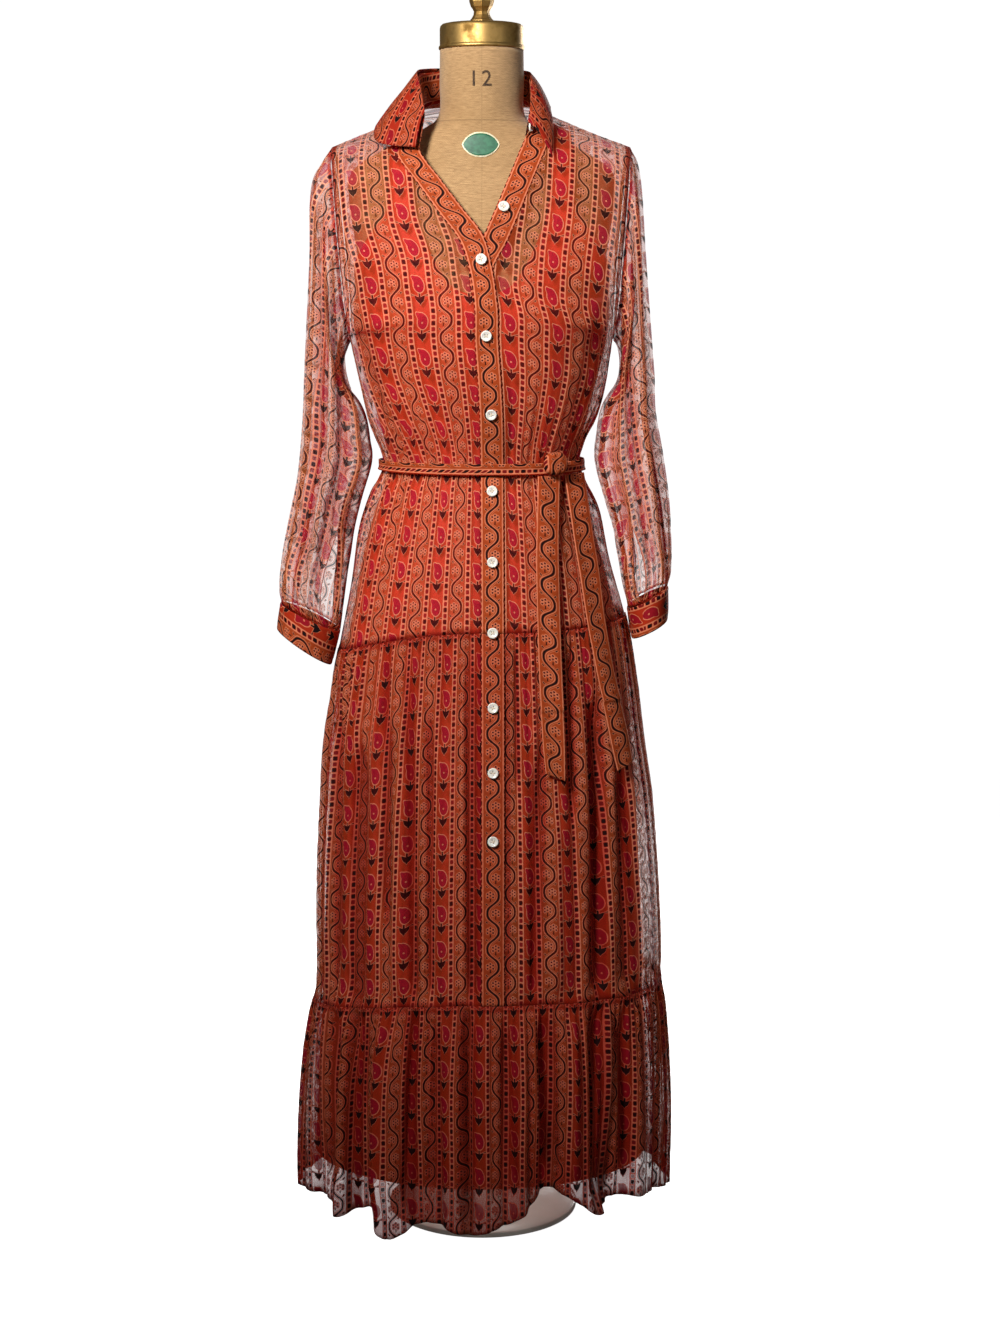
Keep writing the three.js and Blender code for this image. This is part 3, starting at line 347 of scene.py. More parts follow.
class Field:  # a number that varies over a surface, made of Math nodes
    def __init__(self, tree, socket):
        self.tree, self.socket = tree, socket

    def calc(self, operation, *others, clamp=False):
        node = self.tree.nodes.new("ShaderNodeMath")
        node.operation, node.use_clamp = operation, clamp
        for socket, value in zip(node.inputs, (self, *others)):
            if isinstance(value, Field):
                self.tree.links.new(value.socket, socket)
            else:
                socket.default_value = value
        return Field(self.tree, node.outputs[0])

    def __add__(self, other): return self.calc("ADD", other)
    def __sub__(self, other): return self.calc("SUBTRACT", other)
    def __mul__(self, other): return self.calc("MULTIPLY", other)
    def __truediv__(self, other): return self.calc("DIVIDE", other)
    def __abs__(self): return self.calc("ABSOLUTE")
    def least(self, other): return self.calc("MINIMUM", other)
    def most(self, other): return self.calc("MAXIMUM", other)
    def repeat(self, period): return self.calc("WRAP", period / 2, -period / 2)
    def inside(self, blur=0.5): return self.calc("MULTIPLY_ADD", -1 / blur, 0.5, clamp=True)


def reach(x, y):
    return (x * x + y * y).calc("SQRT")


def colourMix(tree, under, over, share, blend="MIX"):
    node = tree.nodes.new("ShaderNodeMix")
    node.data_type, node.blend_type = "RGBA", blend
    for socket, value in ((node.inputs[0], share), (node.inputs[6], under), (node.inputs[7], over)):
        if isinstance(value, Field):
            tree.links.new(value.socket, socket)
        elif isinstance(value, bpy.types.NodeSocket):
            tree.links.new(value, socket)
        else:
            socket.default_value = value
    return node.outputs[2]


# ---- the block print ----
printSizes = {
    "repeat": 62.0, "drop": 45.0,  # from stripe to stripe, and from motif to motif along a stripe
    "vineBand": 11.75, "leafBand": 10.5, "squares": 14.9, "rails": 4.3, "squareStep": 7.5,
    "swing": 7.6, "rosette": 3.4, "petals": 4.0}
printColours = {
    "vermilion": rgb("D25020"), "vineGround": rgb("CE6A32"), "crimson": rgb("C01C3A"), "pale": rgb("FBAA82"),
    "dark": rgb("34090A"), "redSquare": rgb("9C2428"), "petal": rgb("6E1218"), "salmon": rgb("EE8A58")}
inkCover = {"dark": 0.38, "petal": 0.3, "redSquare": 0.22, "crimson": 0.22, "pale": 0.3, "salmon": 0.12}


def makePrint():
    size, ink = printSizes, printColours
    tree = bpy.data.node_groups.new("blockPrint", "ShaderNodeTree")
    tree.interface.new_socket(name="Cloth", in_out="INPUT", socket_type="NodeSocketVector")
    tree.interface.new_socket(name="Colour", in_out="OUTPUT", socket_type="NodeSocketColor")
    tree.interface.new_socket(name="Ink", in_out="OUTPUT", socket_type="NodeSocketFloat")
    start, end = tree.nodes.new("NodeGroupInput"), tree.nodes.new("NodeGroupOutput")
    parts = tree.nodes.new("ShaderNodeSeparateXYZ")
    tree.links.new(start.outputs[0], parts.inputs[0])
    x, y = Field(tree, parts.outputs[0]) * 1000, Field(tree, parts.outputs[1]) * 1000
    repeat, drop, step = size["repeat"], size["drop"], size["squareStep"]
    fromLeaf = x.repeat(repeat)
    aside = abs(fromLeaf)
    fromVine = (x - repeat / 2).repeat(repeat)

    def lobe(turn, at, wide, high):
        off = (turn - at) / wide
        return (off * off * -1).calc("EXPONENT") * high

    # leaf stripe: a curled leaf with a dot, over a barbed arrow
    leafX, leafY = fromLeaf - 1, (y - 3.6).repeat(drop) - 5.4
    away, turn = reach(leafX, leafY), leafY.calc("ARCTAN2", leafX)
    leaf = away - away / reach(leafX / 6.4, leafY / 9.1) - lobe(turn, 2.2, 0.24, 4.6) - lobe(turn, 1.85, 0.5, 2.0)
    leafDot = reach(leafX + 0.6, leafY + 1.2) - 1.2
    depth = leafY * -1 - 12.8
    bowl = ((aside / 6.4) * (aside / 6.4) * -1 + 1).most(0.0).calc("POWER", 0.6) * 9.2
    head = (aside * -0.42 + 2.6 - depth).most(depth - bowl - ((aside / -1.6) + 1).most(0.0) * 2.3)
    arrow = head.least((aside - 1.1).most(abs(leafY + 12.3) - 3.7))
    # square stripes: dark and red squares in turn on a pale line
    squareX, squareY = aside - size["squares"], y.repeat(step)
    odd = ((y + step / 2) / (2 * step)).calc("FRACT").calc("GREATER_THAN", 0.5)
    ratioX, ratioY = squareX / (odd * 0.2 + 2.1), squareY / (odd * 0.3 + 2.3)
    square = (ratioX.calc("POWER", 4.0) + ratioY.calc("POWER", 4.0)).calc("POWER", 0.25) * 2.4 - 2.4
    column = abs(squareX) - size["rails"]
    # vine stripe: a dark wave edged in pale, with a rosette in each bay
    wave = y * (2 * math.pi / drop)
    swing = wave.calc("SINE") * size["swing"] + (wave * 3).calc("SINE") * 0.55
    lean = wave.calc("COSINE") * (size["swing"] * 2 * math.pi / drop)
    side = wave.calc("SINE").calc("SIGN")
    toBay = (fromVine - swing) * side * -1 / (lean * lean + 1).calc("SQRT")
    vine = abs(toBay)
    bayX, bayY = side * fromVine + size["rosette"], (y - drop / 4).repeat(drop / 2)
    away, turn = reach(bayX, bayY), bayX.calc("ARCTAN2", bayY)
    sector = turn.repeat(math.pi / 3)
    petal = reach(away * sector.calc("COSINE") - size["petals"], away * sector.calc("SINE"))
    petal = petal + (abs(turn) - 2.6).calc("GREATER_THAN", 0.0) * 9  # the stalk takes this one's place
    stalk = (abs(bayX) - 0.7).most(abs(bayY + 5.5) - 2)
    dashX, dashY = abs(fromVine) - 7.8, y.repeat(drop / 2)
    dashAlong, dashAcross = abs(dashX + dashY) * 0.707, abs(dashX - dashY) * 0.707
    grain = tree.nodes.new("ShaderNodeTexVoronoi")
    grain.inputs["Scale"].default_value = 420
    tree.links.new(start.outputs[0], grain.inputs["Vector"])
    specks = Field(tree, grain.outputs["Distance"]) - 0.16
    onVine, onLeaf = (abs(fromVine) - size["vineBand"]).inside(), (aside - size["leafBand"]).inside()
    onColumn = column.inside()
    # laid one over another: shape, where it may lie, its colour and how solid it is
    layers = (
        (specks * 4, onVine, "salmon", 0.6),
        (away - 6.3, onVine, "salmon", 0.55),
        (abs(toBay - 4.0) - 0.3, onVine, "pale", 0.8),
        (column, onColumn, "pale", 1), (square - 0.5, onColumn, "vermilion", 1), (square, onColumn, "redSquare", 1),
        (square, onColumn * odd, "dark", 1),
        (abs(arrow - 0.45) - 0.45, onLeaf, "pale", 0.9), (arrow, onLeaf, "dark", 1),
        (abs(leaf - 0.65) - 0.65, onLeaf, "pale", 1), (leaf, onLeaf, "crimson", 1), (leafDot, onLeaf, "pale", 1),
        (petal - 2.1, onVine, "pale", 1), (petal - 1.2, onVine, "petal", 1),
        (away - 1.8, onVine, "pale", 0.9), (away - 1.1, onVine, "petal", 1),
        (stalk, onVine, "dark", 1),
        ((dashAlong - 2.1).most(dashAcross - 1.3), onVine, "pale", 0.8),
        ((dashAlong - 1.5).most(dashAcross - 0.7), onVine, "dark", 1),
        (abs(vine - 2.1) - 0.45, onVine, "pale", 1), (vine - 1.15, onVine, "dark", 1))
    colour = colourMix(tree, ink["vermilion"], ink["vineGround"], onVine)
    solid = onVine * 0.0
    for shape, zone, key, share in layers:
        cover = shape.inside() * zone * share
        colour = colourMix(tree, colour, ink[key], cover)
        solid = solid + (solid * -1 + inkCover.get(key, 0.0)) * cover
    tree.links.new(colour, end.inputs[0])
    tree.links.new(solid.socket, end.inputs[1])
    return tree


blockPrint = makePrint()


def newMaterial(name, values):  # constants go straight onto the shader's own sockets
    material = bpy.data.materials.new(name)
    material.use_nodes = True
    shader = material.node_tree.nodes["Principled BSDF"]
    for key, value in values.items():
        shader.inputs[key].default_value = value
    return material, material.node_tree, shader


def onObject(tree):
    return tree.nodes.new("ShaderNodeTexCoord").outputs["Object"]


def addBump(tree, shader, height, strength, distance=0.001):
    bump = tree.nodes.new("ShaderNodeBump")
    bump.inputs["Strength"].default_value = strength
    bump.inputs["Distance"].default_value = distance
    tree.links.new(height.socket if isinstance(height, Field) else height, bump.inputs["Height"])
    tree.links.new(bump.outputs[0], shader.inputs["Normal"])
    return bump


def noiseOn(tree, vector, scale, detail=3.0, stretch=(1, 1, 1)):
    turnTo = tree.nodes.new("ShaderNodeMapping")
    turnTo.inputs["Scale"].default_value = stretch
    noise = tree.nodes.new("ShaderNodeTexNoise")
    noise.inputs["Scale"].default_value, noise.inputs["Detail"].default_value = scale, detail
    tree.links.new(vector, turnTo.inputs[0])
    tree.links.new(turnTo.outputs[0], noise.inputs["Vector"])
    return Field(tree, noise.outputs[0])


def asColour(tree, *fields):
    node = tree.nodes.new("ShaderNodeCombineXYZ")
    for socket, value in zip(node.inputs, fields):
        tree.links.new(value.socket, socket)
    return node.outputs[0]


clothLook = {
    "sheerCover": 0.21, "seamCover": 0.42, "crepeCover": 0.14, "sheerGlow": 0.36, "bandGlow": 0.06,
    "bandGamma": 1.35, "bandShade": (0.63, 0.63 * 0.92, 0.63 * 0.95, 1),
    "deepenAndShade": (0.42, 0.924, 0.924), "deepest": 0.2}  # cloth that lies double is deeper and redder; the same darkening is painted shade in fold troughs, near the ruffle's hem and on the collar fall


def printedMaterial(name, sheer):
    material, tree, shader = newMaterial(name, {"Roughness": 0.8, "Specular IOR Level": 0.18})
    uv = tree.nodes.new("ShaderNodeUVMap")
    uv.uv_map = "cloth"
    group = tree.nodes.new("ShaderNodeGroup")
    group.node_tree = blockPrint
    tree.links.new(uv.outputs[0], group.inputs[0])
    crepe = noiseOn(tree, uv.outputs[0], 260, 4, (1.0, 0.45, 1))
    worn = noiseOn(tree, uv.outputs[0], 18, 2)
    shade = (crepe - 0.5) * 0.35 + (worn - 0.5) * 0.22 + 1
    colour = colourMix(tree, group.outputs[0], asColour(tree, shade, shade, shade), 1.0, "MULTIPLY")
    if not sheer:
        deeper = tree.nodes.new("ShaderNodeGamma")
        deeper.inputs[1].default_value = clothLook["bandGamma"]
        tree.links.new(colour, deeper.inputs[0])
        colour = colourMix(tree, deeper.outputs[0], clothLook["bandShade"], 1.0, "MULTIPLY")
    # the doubled attribute darkens and thickens the cloth: real double cloth at seams, and painted shade in fold
    # troughs, near the ruffle's hem and on the collar fall
    seamAndShade = Field(tree, tree.nodes.new("ShaderNodeAttribute").outputs["Fac"])
    seamAndShade.socket.node.attribute_name = "doubled"
    deep = [(seamAndShade * -pull + 1).most(clothLook["deepest"]) for pull in clothLook["deepenAndShade"]]
    colour = colourMix(tree, colour, asColour(tree, *deep), 1.0, "MULTIPLY")
    tree.links.new(colour, shader.inputs["Base Color"])
    bump = addBump(tree, shader, crepe, 0.35)
    glow = tree.nodes.new("ShaderNodeBsdfTranslucent")
    tree.links.new(colour, glow.inputs[0])
    tree.links.new(bump.outputs[0], glow.inputs["Normal"])
    last = tree.nodes.new("ShaderNodeMixShader")
    last.inputs[0].default_value = clothLook["sheerGlow" if sheer else "bandGlow"]
    tree.links.new(shader.outputs[0], last.inputs[1])
    tree.links.new(glow.outputs[0], last.inputs[2])
    if sheer:
        cloth, last = last, tree.nodes.new("ShaderNodeMixShader")
        cover = Field(tree, group.outputs[1]) + (crepe - 0.5) * clothLook["crepeCover"] + seamAndShade * clothLook["seamCover"]
        tree.links.new(cover.calc("ADD", clothLook["sheerCover"], clamp=True).socket, last.inputs[0])
        tree.links.new(tree.nodes.new("ShaderNodeBsdfTransparent").outputs[0], last.inputs[1])
        tree.links.new(cloth.outputs[0], last.inputs[2])
    tree.links.new(last.outputs[0], tree.nodes["Material Output"].inputs[0])
    return material


def mottledMaterial(name, values, first, second, noise, bump=None, contrast=None):
    # bump: another noise or none, then strength and distance
    material, tree, shader = newMaterial(name, values)
    spots = noiseOn(tree, onObject(tree), *noise)
    share = (spots - 0.5).calc("MULTIPLY_ADD", *contrast, clamp=True) if contrast else spots
    tree.links.new(colourMix(tree, rgb(first), rgb(second), share), shader.inputs["Base Color"])
    if bump:
        other, *amount = bump
        addBump(tree, shader, noiseOn(tree, onObject(tree), *other) if other else spots, *amount)
    return material


def makeLinen():
    material, tree, shader = newMaterial("agedLinen", {"Roughness": 0.9, "Sheen Weight": 0.15})
    coords = onObject(tree)
    parts = tree.nodes.new("ShaderNodeSeparateXYZ")
    tree.links.new(coords, parts.inputs[0])
    x, z = Field(tree, parts.outputs[0]), Field(tree, parts.outputs[2])
    uneven = noiseOn(tree, coords, 60, 3, (1, 1, 1))
    weft = (z * 3100 + uneven * 5).calc("SINE")
    warp = (x * 3100 + uneven * 5).calc("SINE")
    weave = weft * warp
    slubs = noiseOn(tree, coords, 130, 4, (1, 1, 9))
    stains = noiseOn(tree, coords, 11, 4)
    base = colourMix(tree, rgb("97744C"), rgb("C29A6A"), (slubs - 0.5).calc("MULTIPLY_ADD", 2.4, 0.5, clamp=True))
    base = colourMix(tree, base, rgb("8A6638"), (stains - 0.52).calc("MULTIPLY_ADD", 3.5, 0.0, clamp=True) * 0.5)
    base = colourMix(tree, base, rgb("7D5F3C"), (weave - 0.1).calc("MULTIPLY_ADD", 0.45, 0.0, clamp=True))
    neckSeam, middleSeam = abs(z * 1000 - 1421) - 0.5, abs(x * 1000 - 0.5) - 0.3
    seams = neckSeam.inside(1.2).most(middleSeam.inside(1.0) * 0.6) * 0.55
    base = colourMix(tree, base, rgb("5E4526"), seams)
    tree.links.new(base, shader.inputs["Base Color"])
    addBump(tree, shader, weave * 0.5 + slubs, 0.5, 0.0008)
    return material


def makeBrass():
    material, tree, shader = newMaterial("oldBrass", {"Metallic": 1.0})
    coords = onObject(tree)
    brushed = noiseOn(tree, coords, 240, 3, (1, 1, 6))
    tarnish = (noiseOn(tree, coords, 42, 5) - 0.52).calc("MULTIPLY_ADD", 5.0, 0.2, clamp=True)
    tree.links.new(colourMix(tree, rgb("C49E5E"), rgb("7A5C2E"), tarnish), shader.inputs["Base Color"])
    tree.links.new((tarnish * 0.25 + brushed * 0.2 + 0.34).socket, shader.inputs["Roughness"])
    addBump(tree, shader, brushed, 0.12, 0.0004)
    return material


chiffon, doubled = printedMaterial("printedChiffon", True), printedMaterial("printedBand", False)
linen, brass = makeLinen(), makeBrass()
slipRed = mottledMaterial("slipCloth", {"Roughness": 0.7, "Sheen Weight": 0.1}, "CC2416", "E0301C",
                          (900, 2, (1, 1, 0.3)), (None, 0.15))
enamel = mottledMaterial("creamEnamel", {"Roughness": 0.3, "Coat Weight": 0.3, "Coat Roughness": 0.1},
                         "EFEAE0", "DAD3C4", (30, 4), ((300, 2), 0.06))
pearl = mottledMaterial("pearlButton", {"Roughness": 0.22, "Coat Weight": 0.4, "Subsurface Weight": 0.1},
                        "FBF4EA", "DCCFBC", (260, 3))
thread = mottledMaterial("buttonThread", {"Roughness": 0.8}, "C9B49A", "E6D6C0", (1800, 1))
labelGreen, labelCream, stencilInk = (
    mottledMaterial(name, {"Roughness": rough}, first, second, (scale, 4), (None, 0.1, 0.0003), (4.0, 0.4))
    for name, first, second, rough, scale in (
        ("labelGreen", "2F6B4B", "1F5238", 0.45, 160), ("labelCream", "E6DDBE", "CFC295", 0.5, 200),
        ("stencilInk", "33241A", "5A4228", 0.9, 420)))
print("materials ready")


# ---- slip ----
slipLevels = table(
    "z right left front back round",
    (84, 224, 218, 172, 168, 2), (300, 211, 211, 152, 148, 2.05), (513, 202, 203, 138, 138, 2.1),
    (700, 186, 188, 121, 125, 2.15), (800, 168, 172, 113.5, 118, 2.2), (900, 148, 147, 101, 104, 2.15),
    (993, 117, 117, 85.5, 79.5, 2.1), (1060, 135, 136, 94, 84, 2.1), (1150, 160, 158, 118.5, 94, 2.15),
    (1195, 163, 162, 121, 96, 2.2))
slipTopRows = {
    -1: table("x y z endX endY endZ", (4, -119.5, 1205, 161, 8, 1207), (34, -113, 1217, 160, -32, 1233),
              (53, -105, 1242, 157, -50, 1251), (68, -96, 1272, 140, -66, 1280), (80, -88, 1304, 118, -75, 1310),
              (85, -78, 1345, 115, -67, 1345), (85, -48, 1391, 114, -42, 1382), (85, 5.7, 1423, 112, 5.7, 1410)),
    1: table("x y z endX endY endZ", (4, 95, 1250, 161, 12, 1209), (40, 92, 1300, 158, 48, 1247),
             (70, 84, 1345, 138, 62, 1312), (85, 66, 1385, 115, 58, 1368), (85, 6.3, 1423, 112, 6.3, 1410))}


def slipRows(side, towards, heights, upper=None):
    z = np.array(heights, float)
    sideZ = np.minimum(z, 1195)
    near = ringPoint(slipLevels, 0.0 if towards < 0 else math.pi, z)
    far = ringPoint(slipLevels, side * math.pi / 2, sideZ)
    rows = {"x": z * 0, "y": near[:, 1], "z": z, "endX": far[:, 0], "endY": z * 0 + towards * 0.1,
            "endZ": sideZ, "round": along(slipLevels, "z", "round", z), "rise": z * 0 + 1}
    if upper is not None:
        more = {"x": side * upper["x"], "y": upper["y"], "z": upper["z"], "endX": side * upper["endX"],
                "endY": upper["endY"], "endZ": upper["endZ"], "round": upper["x"] * 0 + 2,
                "rise": upper["x"] * 0 + 1}
        rows = {key: np.concatenate([rows[key], more[key]]) for key in rows}
    return rows


def slipPanel(name, towards, heights, upper):
    parts = []
    for side in (-1, 1):
        rows = slipRows(side, towards, heights, upper)
        last = len(rows["x"]) - 1
        outward = side * -towards > 0

        def surface(u, v):
            toSide = u if outward else 1 - u
            return halfPoint(rows, side, v * last, widthAt(rows, v * last) * np.sin(toSide * math.pi / 2) ** 0.95)
        grid = lattice(48, 64, surface)
        x, z = grid["x"], grid["z"]
        fold = 1.1 * wander(x / 31, 3 + towards) * np.clip((900 - z) / 500, 0, 1) - 0.3
        parts.append((grid, fold, x, z, 0))
    return sheetMesh(name, parts, slipRed, 0.5, merge=0.3)


slipHeights = [84, 300, 513, 700, 800, 900, 992.8]
slipTop = [993.2, 1060, 1150]
slipCuts = {
    "slipSkirtFront": ("slip_skirt_front", -1, slipHeights, None, (0.62, 0.92, 0.8)),
    "slipSkirtBack": ("slip_skirt_back", 1, slipHeights, None, (0.60, 0.92, 0.8)),
    "slipTopFront": ("slip_top_front", -1, slipTop + [1195], slipTopRows[-1], (0.42, 0.46, 0.6)),
    "slipTopBack": ("slip_top_back", 1, slipTop + [1215], slipTopRows[1], (0.38, 0.45, 0.6))}
for name, (node, towards, heights, upper, flat) in slipCuts.items():
    sew(slipPanel(name, towards, heights, upper), "slip_cloth", node, *flat, "hung", ["form_body"])
print("slip ready")

stripeMiddle = printSizes["repeat"] / 2  # of the vine stripe

# ---- bodice ----
# How much cloth lies in a millimetre across, row by row from the hip seam up.
bodiceEase = table("row ease", (0, 1.12), (1, 1.22), (2, 1.38), (3, 1.5), (4, 1.6), (5, 1.55), (6, 1.3), (7, 1.1),
                   (8, 1.03), (9, 1.02), (10, 1.02), (11, 1.04), (12, 1.06), (18, 1.08))
# Where the middle stripe would run above the V, had the neck not been cut away.
stripeLine = {-1: table("row x", (10, 0), (11, -6), (12, -19), (13, -24), (14, -28), (16, -30)),
              1: table("row x", (10, 0), (11, 3), (12, 9), (13, 12), (14, 14), (16, 16))}
waistDepth = table("row deep", (0, 0.4), (1, 0.9), (2, 1.5), (3, 2.2), (4, 2.4), (5, 2.5), (6, 1.9), (7, 0.9),
                   (9, 0.3), (18, 0.2))
frontCreases = creaseTable(
    (-160, 1180, -118, 1040, 2.6, 5), (-146, 1130, -108, 1020, 2.2, 4), (150, 1200, 112, 1040, 2.8, 6),
    (158, 1130, 126, 1020, 2.4, 5), (136, 1220, 92, 1080, 1.6, 7), (-120, 1230, -84, 1070, 1.4, 8),
    (-96, 980, -128, 820, 2.0, 6), (-60, 975, -72, 810, 1.8, 6), (60, 975, 66, 815, 2.0, 6),
    (104, 975, 138, 830, 2.4, 7), (-30, 1080, -26, 1015, 1.5, 4), (44, 1100, 36, 1012, 1.8, 5),
    (-70, 1100, -58, 1015, 1.8, 5), (80, 1110, 66, 1015, 2.0, 5))
backCreases = creaseTable(
    (-140, 1180, -96, 1030, 2.6, 7), (138, 1190, 92, 1030, 2.8, 7), (-60, 1120, -48, 1012, 2.2, 6),
    (58, 1130, 40, 1012, 2.0, 6), (4, 1100, 2, 1012, 1.8, 6), (-100, 975, -122, 800, 2.2, 8),
    (96, 975, 130, 805, 2.4, 8), (30, 975, 38, 800, 1.8, 7), (-34, 975, -40, 800, 2.0, 7))


def upwards(grid):  # length of cloth up each column, sideways steps left out
    steps = np.hypot(np.diff(grid["y"], axis=0), np.diff(grid["z"], axis=0))
    return np.concatenate([np.zeros_like(grid["y"][:1]), np.cumsum(steps, axis=0)])


def bodiceFold(grid, flat, rowNumber, seeds, rows, share):
    deep = along(waistDepth, "row", "deep", rowNumber)
    fold = deep * (0.75 * pleats(flat, 13, seeds[0]) + 0.5 * pleats(flat, 27, seeds[0] + 2))
    return fold + creases(rows, grid["x"], grid["z"]) * share + crinkle(flat, grid["z"], seeds[1])


def bodicePrintY(grid, rowNumber):  # the print starts level at the belt
    i = np.argmin(np.abs(rowNumber[:, 0] - beltRow))
    risen = upwards(grid)
    return risen - risen[i] + grid["z"][i]


# the edges lie double; folded adds painted shade in the fold troughs
def bodiceDoublingAndShade(grid, toEdge, fold):
    return nearEdge(np.minimum(toEdge, grid["up"]), 7) + folded(fold, 0.08)


def bodiceFront(name, side, upper, printStart, slant):
    rows = halfRows(side, -1, upper)
    last = len(rows["x"]) - 1

    def surface(u, v):
        v = v * last
        width = widthAt(rows, v)
        start = np.maximum(bandOffset(rows, v), 0)
        toSide = 1 - u if side < 0 else u
        begin = np.arcsin((start / width) ** 1.1)
        return halfPoint(rows, side, v, width * np.sin(lerp(begin, math.pi / 2, toSide)) ** (1 / 1.1))
    grid = lattice(92, 132, surface)
    rowNumber = grid["v"] * last
    fromBand = grid["across"] if side > 0 else grid["width"] - grid["across"]
    toEdge = grid["width"] - fromBand
    ease = along(bodiceEase, "row", "ease", rowNumber)
    fold = bodiceFold(grid, grid["across"] * ease, rowNumber, (2 + side, 2 + side), frontCreases, 0.8)
    fold = fold * np.clip(fromBand / 9, 0.15, 1) * np.clip(toEdge / 9, 0.15, 1)
    cutAway = side * (rowAt(rows, "x", rowNumber) - along(stripeLine[side], "row", "x", rowNumber))
    cutAway = np.where(rowNumber > 10, cutAway + np.maximum(bandOffset(rows, rowNumber), 0) - bandWidth / 2, 0)
    flat = (fromBand + cutAway) * ease
    return sheetMesh(name, [(grid, fold, side * flat + printStart, bodicePrintY(grid, rowNumber) - slant * flat,
                             bodiceDoublingAndShade(grid, toEdge, fold))], chiffon)


def bodiceBack():
    parts = []
    for side in (1, -1):
        rows = halfRows(side, 1, backRows)
        last = len(rows["x"]) - 1

        def surface(u, v):
            toSide = u if side < 0 else 1 - u
            return halfPoint(rows, side, v * last, widthAt(rows, v * last) * np.sin(toSide * math.pi / 2) ** (1 / 1.1))
        grid = lattice(76, 116, surface)
        rowNumber = grid["v"] * last
        fromMiddle = grid["across"] if side < 0 else grid["width"] - grid["across"]
        toEdge = grid["width"] - fromMiddle
        flat = -side * fromMiddle * along(bodiceEase, "row", "ease", rowNumber)  # runs on across the middle line
        fold = bodiceFold(grid, flat, rowNumber, (9, 4), backCreases, 0.9) * np.clip(toEdge / 9, 0.15, 1)
        parts.append((grid, fold, flat + stripeMiddle, bodicePrintY(grid, rowNumber),
                      bodiceDoublingAndShade(grid, toEdge, fold)))
    return sheetMesh("bodiceBack", parts, chiffon, merge=0.35)


def bandFold(grid, lift, ripple):
    return lift + ripple * np.sin(grid["u"] * math.pi) + stitchedRim(grid["toSide"], 1.2, 3.2, 0.7)


def buttonBand(name, side, upper, lift):
    rows = halfRows(side, -1, upper)
    last = bandEndRow + 1

    def surface(u, v):
        v = v * last
        shut = rowAt(rows, "lap", v)
        toBody = 1 - u if side < 0 else u
        return halfPoint(rows, side, v, lerp(-shut, bandOffset(rows, v), toBody))
    grid = lattice(16, 190, surface)
    fold = bandFold(grid, lift, 0.5 * wander(grid["up"] / 17, 2 + side))
    printX = grid["across"] - grid["width"] / 2 + stripeMiddle
    return sheetMesh(name, [(grid, fold, printX, grid["up"] + hipSeam["front"], 0)], doubled, 1.1)


sew(bodiceFront("bodiceFrontRight", -1, rightFrontRows, 5, 0.0), "printed_chiffon", "bodice_front_right",
    0.28, 0.66, 0.8, "hung", ["collarStand", "slipTopFront"])
sew(bodiceFront("bodiceFrontLeft", 1, leftFrontRows, -14, -0.2), "printed_chiffon", "bodice_front_left",
    0.28, 0.66, 0.8, "hung", ["collarStand", "slipTopFront"])
sew(bodiceBack(), "printed_chiffon", "bodice_back", 0.50, 0.68, 0.85, "hung", ["collarStand", "slipTopBack"])
sew(buttonBand("placketUpper", -1, rightFrontRows, lapLift), "printed_band", "placket_upper",
    0.031, 0.63, 1.0, "hung", ["collarStand", "bodiceFrontRight"])
sew(buttonBand("placketUnder", 1, leftFrontRows, 0.0), "printed_band", "placket_under",
    0.031, 0.63, 1.0, "hung", ["collarStand", "bodiceFrontLeft"])
print("bodice ready")

# ---- skirt tier ----
skirtDepths = table("v fine mid soft", (0, 0.9, 1.6, 4.2), (0.3, 0.2, 1.2, 5.6), (0.68, 0.5, 2.0, 5.0),
                    (0.86, 1.5, 2.4, 3.2), (0.95, 2.6, 2.0, 1.6), (1, 2.2, 1.2, 0.5))
skirtCreases = creaseTable(
    (-158, 640, -164, 300, 8, 8), (-121, 780, -122, 420, 4, 5), (-92, 775, -88, 310, 5.5, 5),
    (-66, 700, -64, 320, 4, 4.5), (-14, 770, -12, 310, 7.5, 6), (24, 640, 22, 320, 4.5, 6),
    (72, 640, 66, 320, 4, 7), (146, 700, 148, 320, 8.5, 8), (176, 620, 182, 320, 3.5, 7),
    (-184, 700, -188, 330, 3.5, 6), (-108, 600, -108, 330, -2.5, 7), (92, 560, 90, 330, -2.5, 9),
    (44, 780, 46, 600, 2.5, 4), (112, 780, 118, 560, 3.5, 5), (-48, 780, -52, 640, 3, 4))
skirtBackCreases = creaseTable(
    (-150, 720, -158, 310, 7, 8), (-104, 760, -108, 310, 5, 6), (-52, 740, -50, 310, 7, 7),
    (-6, 760, -4, 310, 5, 6), (38, 720, 44, 310, 7.5, 7), (90, 760, 96, 310, 5, 6), (142, 700, 152, 310, 8, 8))


def roomInside(grid, angle):  # how far a fold may sink before it meets the slip
    slip = ringPoint(slipLevels, angle, np.maximum(grid["z"], 84))
    away = np.hypot(grid["x"], grid["y"]) - np.hypot(slip[..., 0], slip[..., 1])
    return np.clip(0.85 * away - 2, 1, 25)


def seamWave(angle):  # the skirt and the ruffle share this line
    return 2.6 * np.sin(angle * 17 + 1.4 * wander(angle * 3, 5))


def skirtPoint(angle, v):
    z = lerp(seamHeight(ruffleSeam, angle), seamHeight(hipSeam, angle), v)
    return dressPoint(angle, z)


def bandAngle(v, off):
    z = lerp(ruffleSeam["front"], hipSeam["front"], v)
    return angleAt(lineX(z) + off, z)


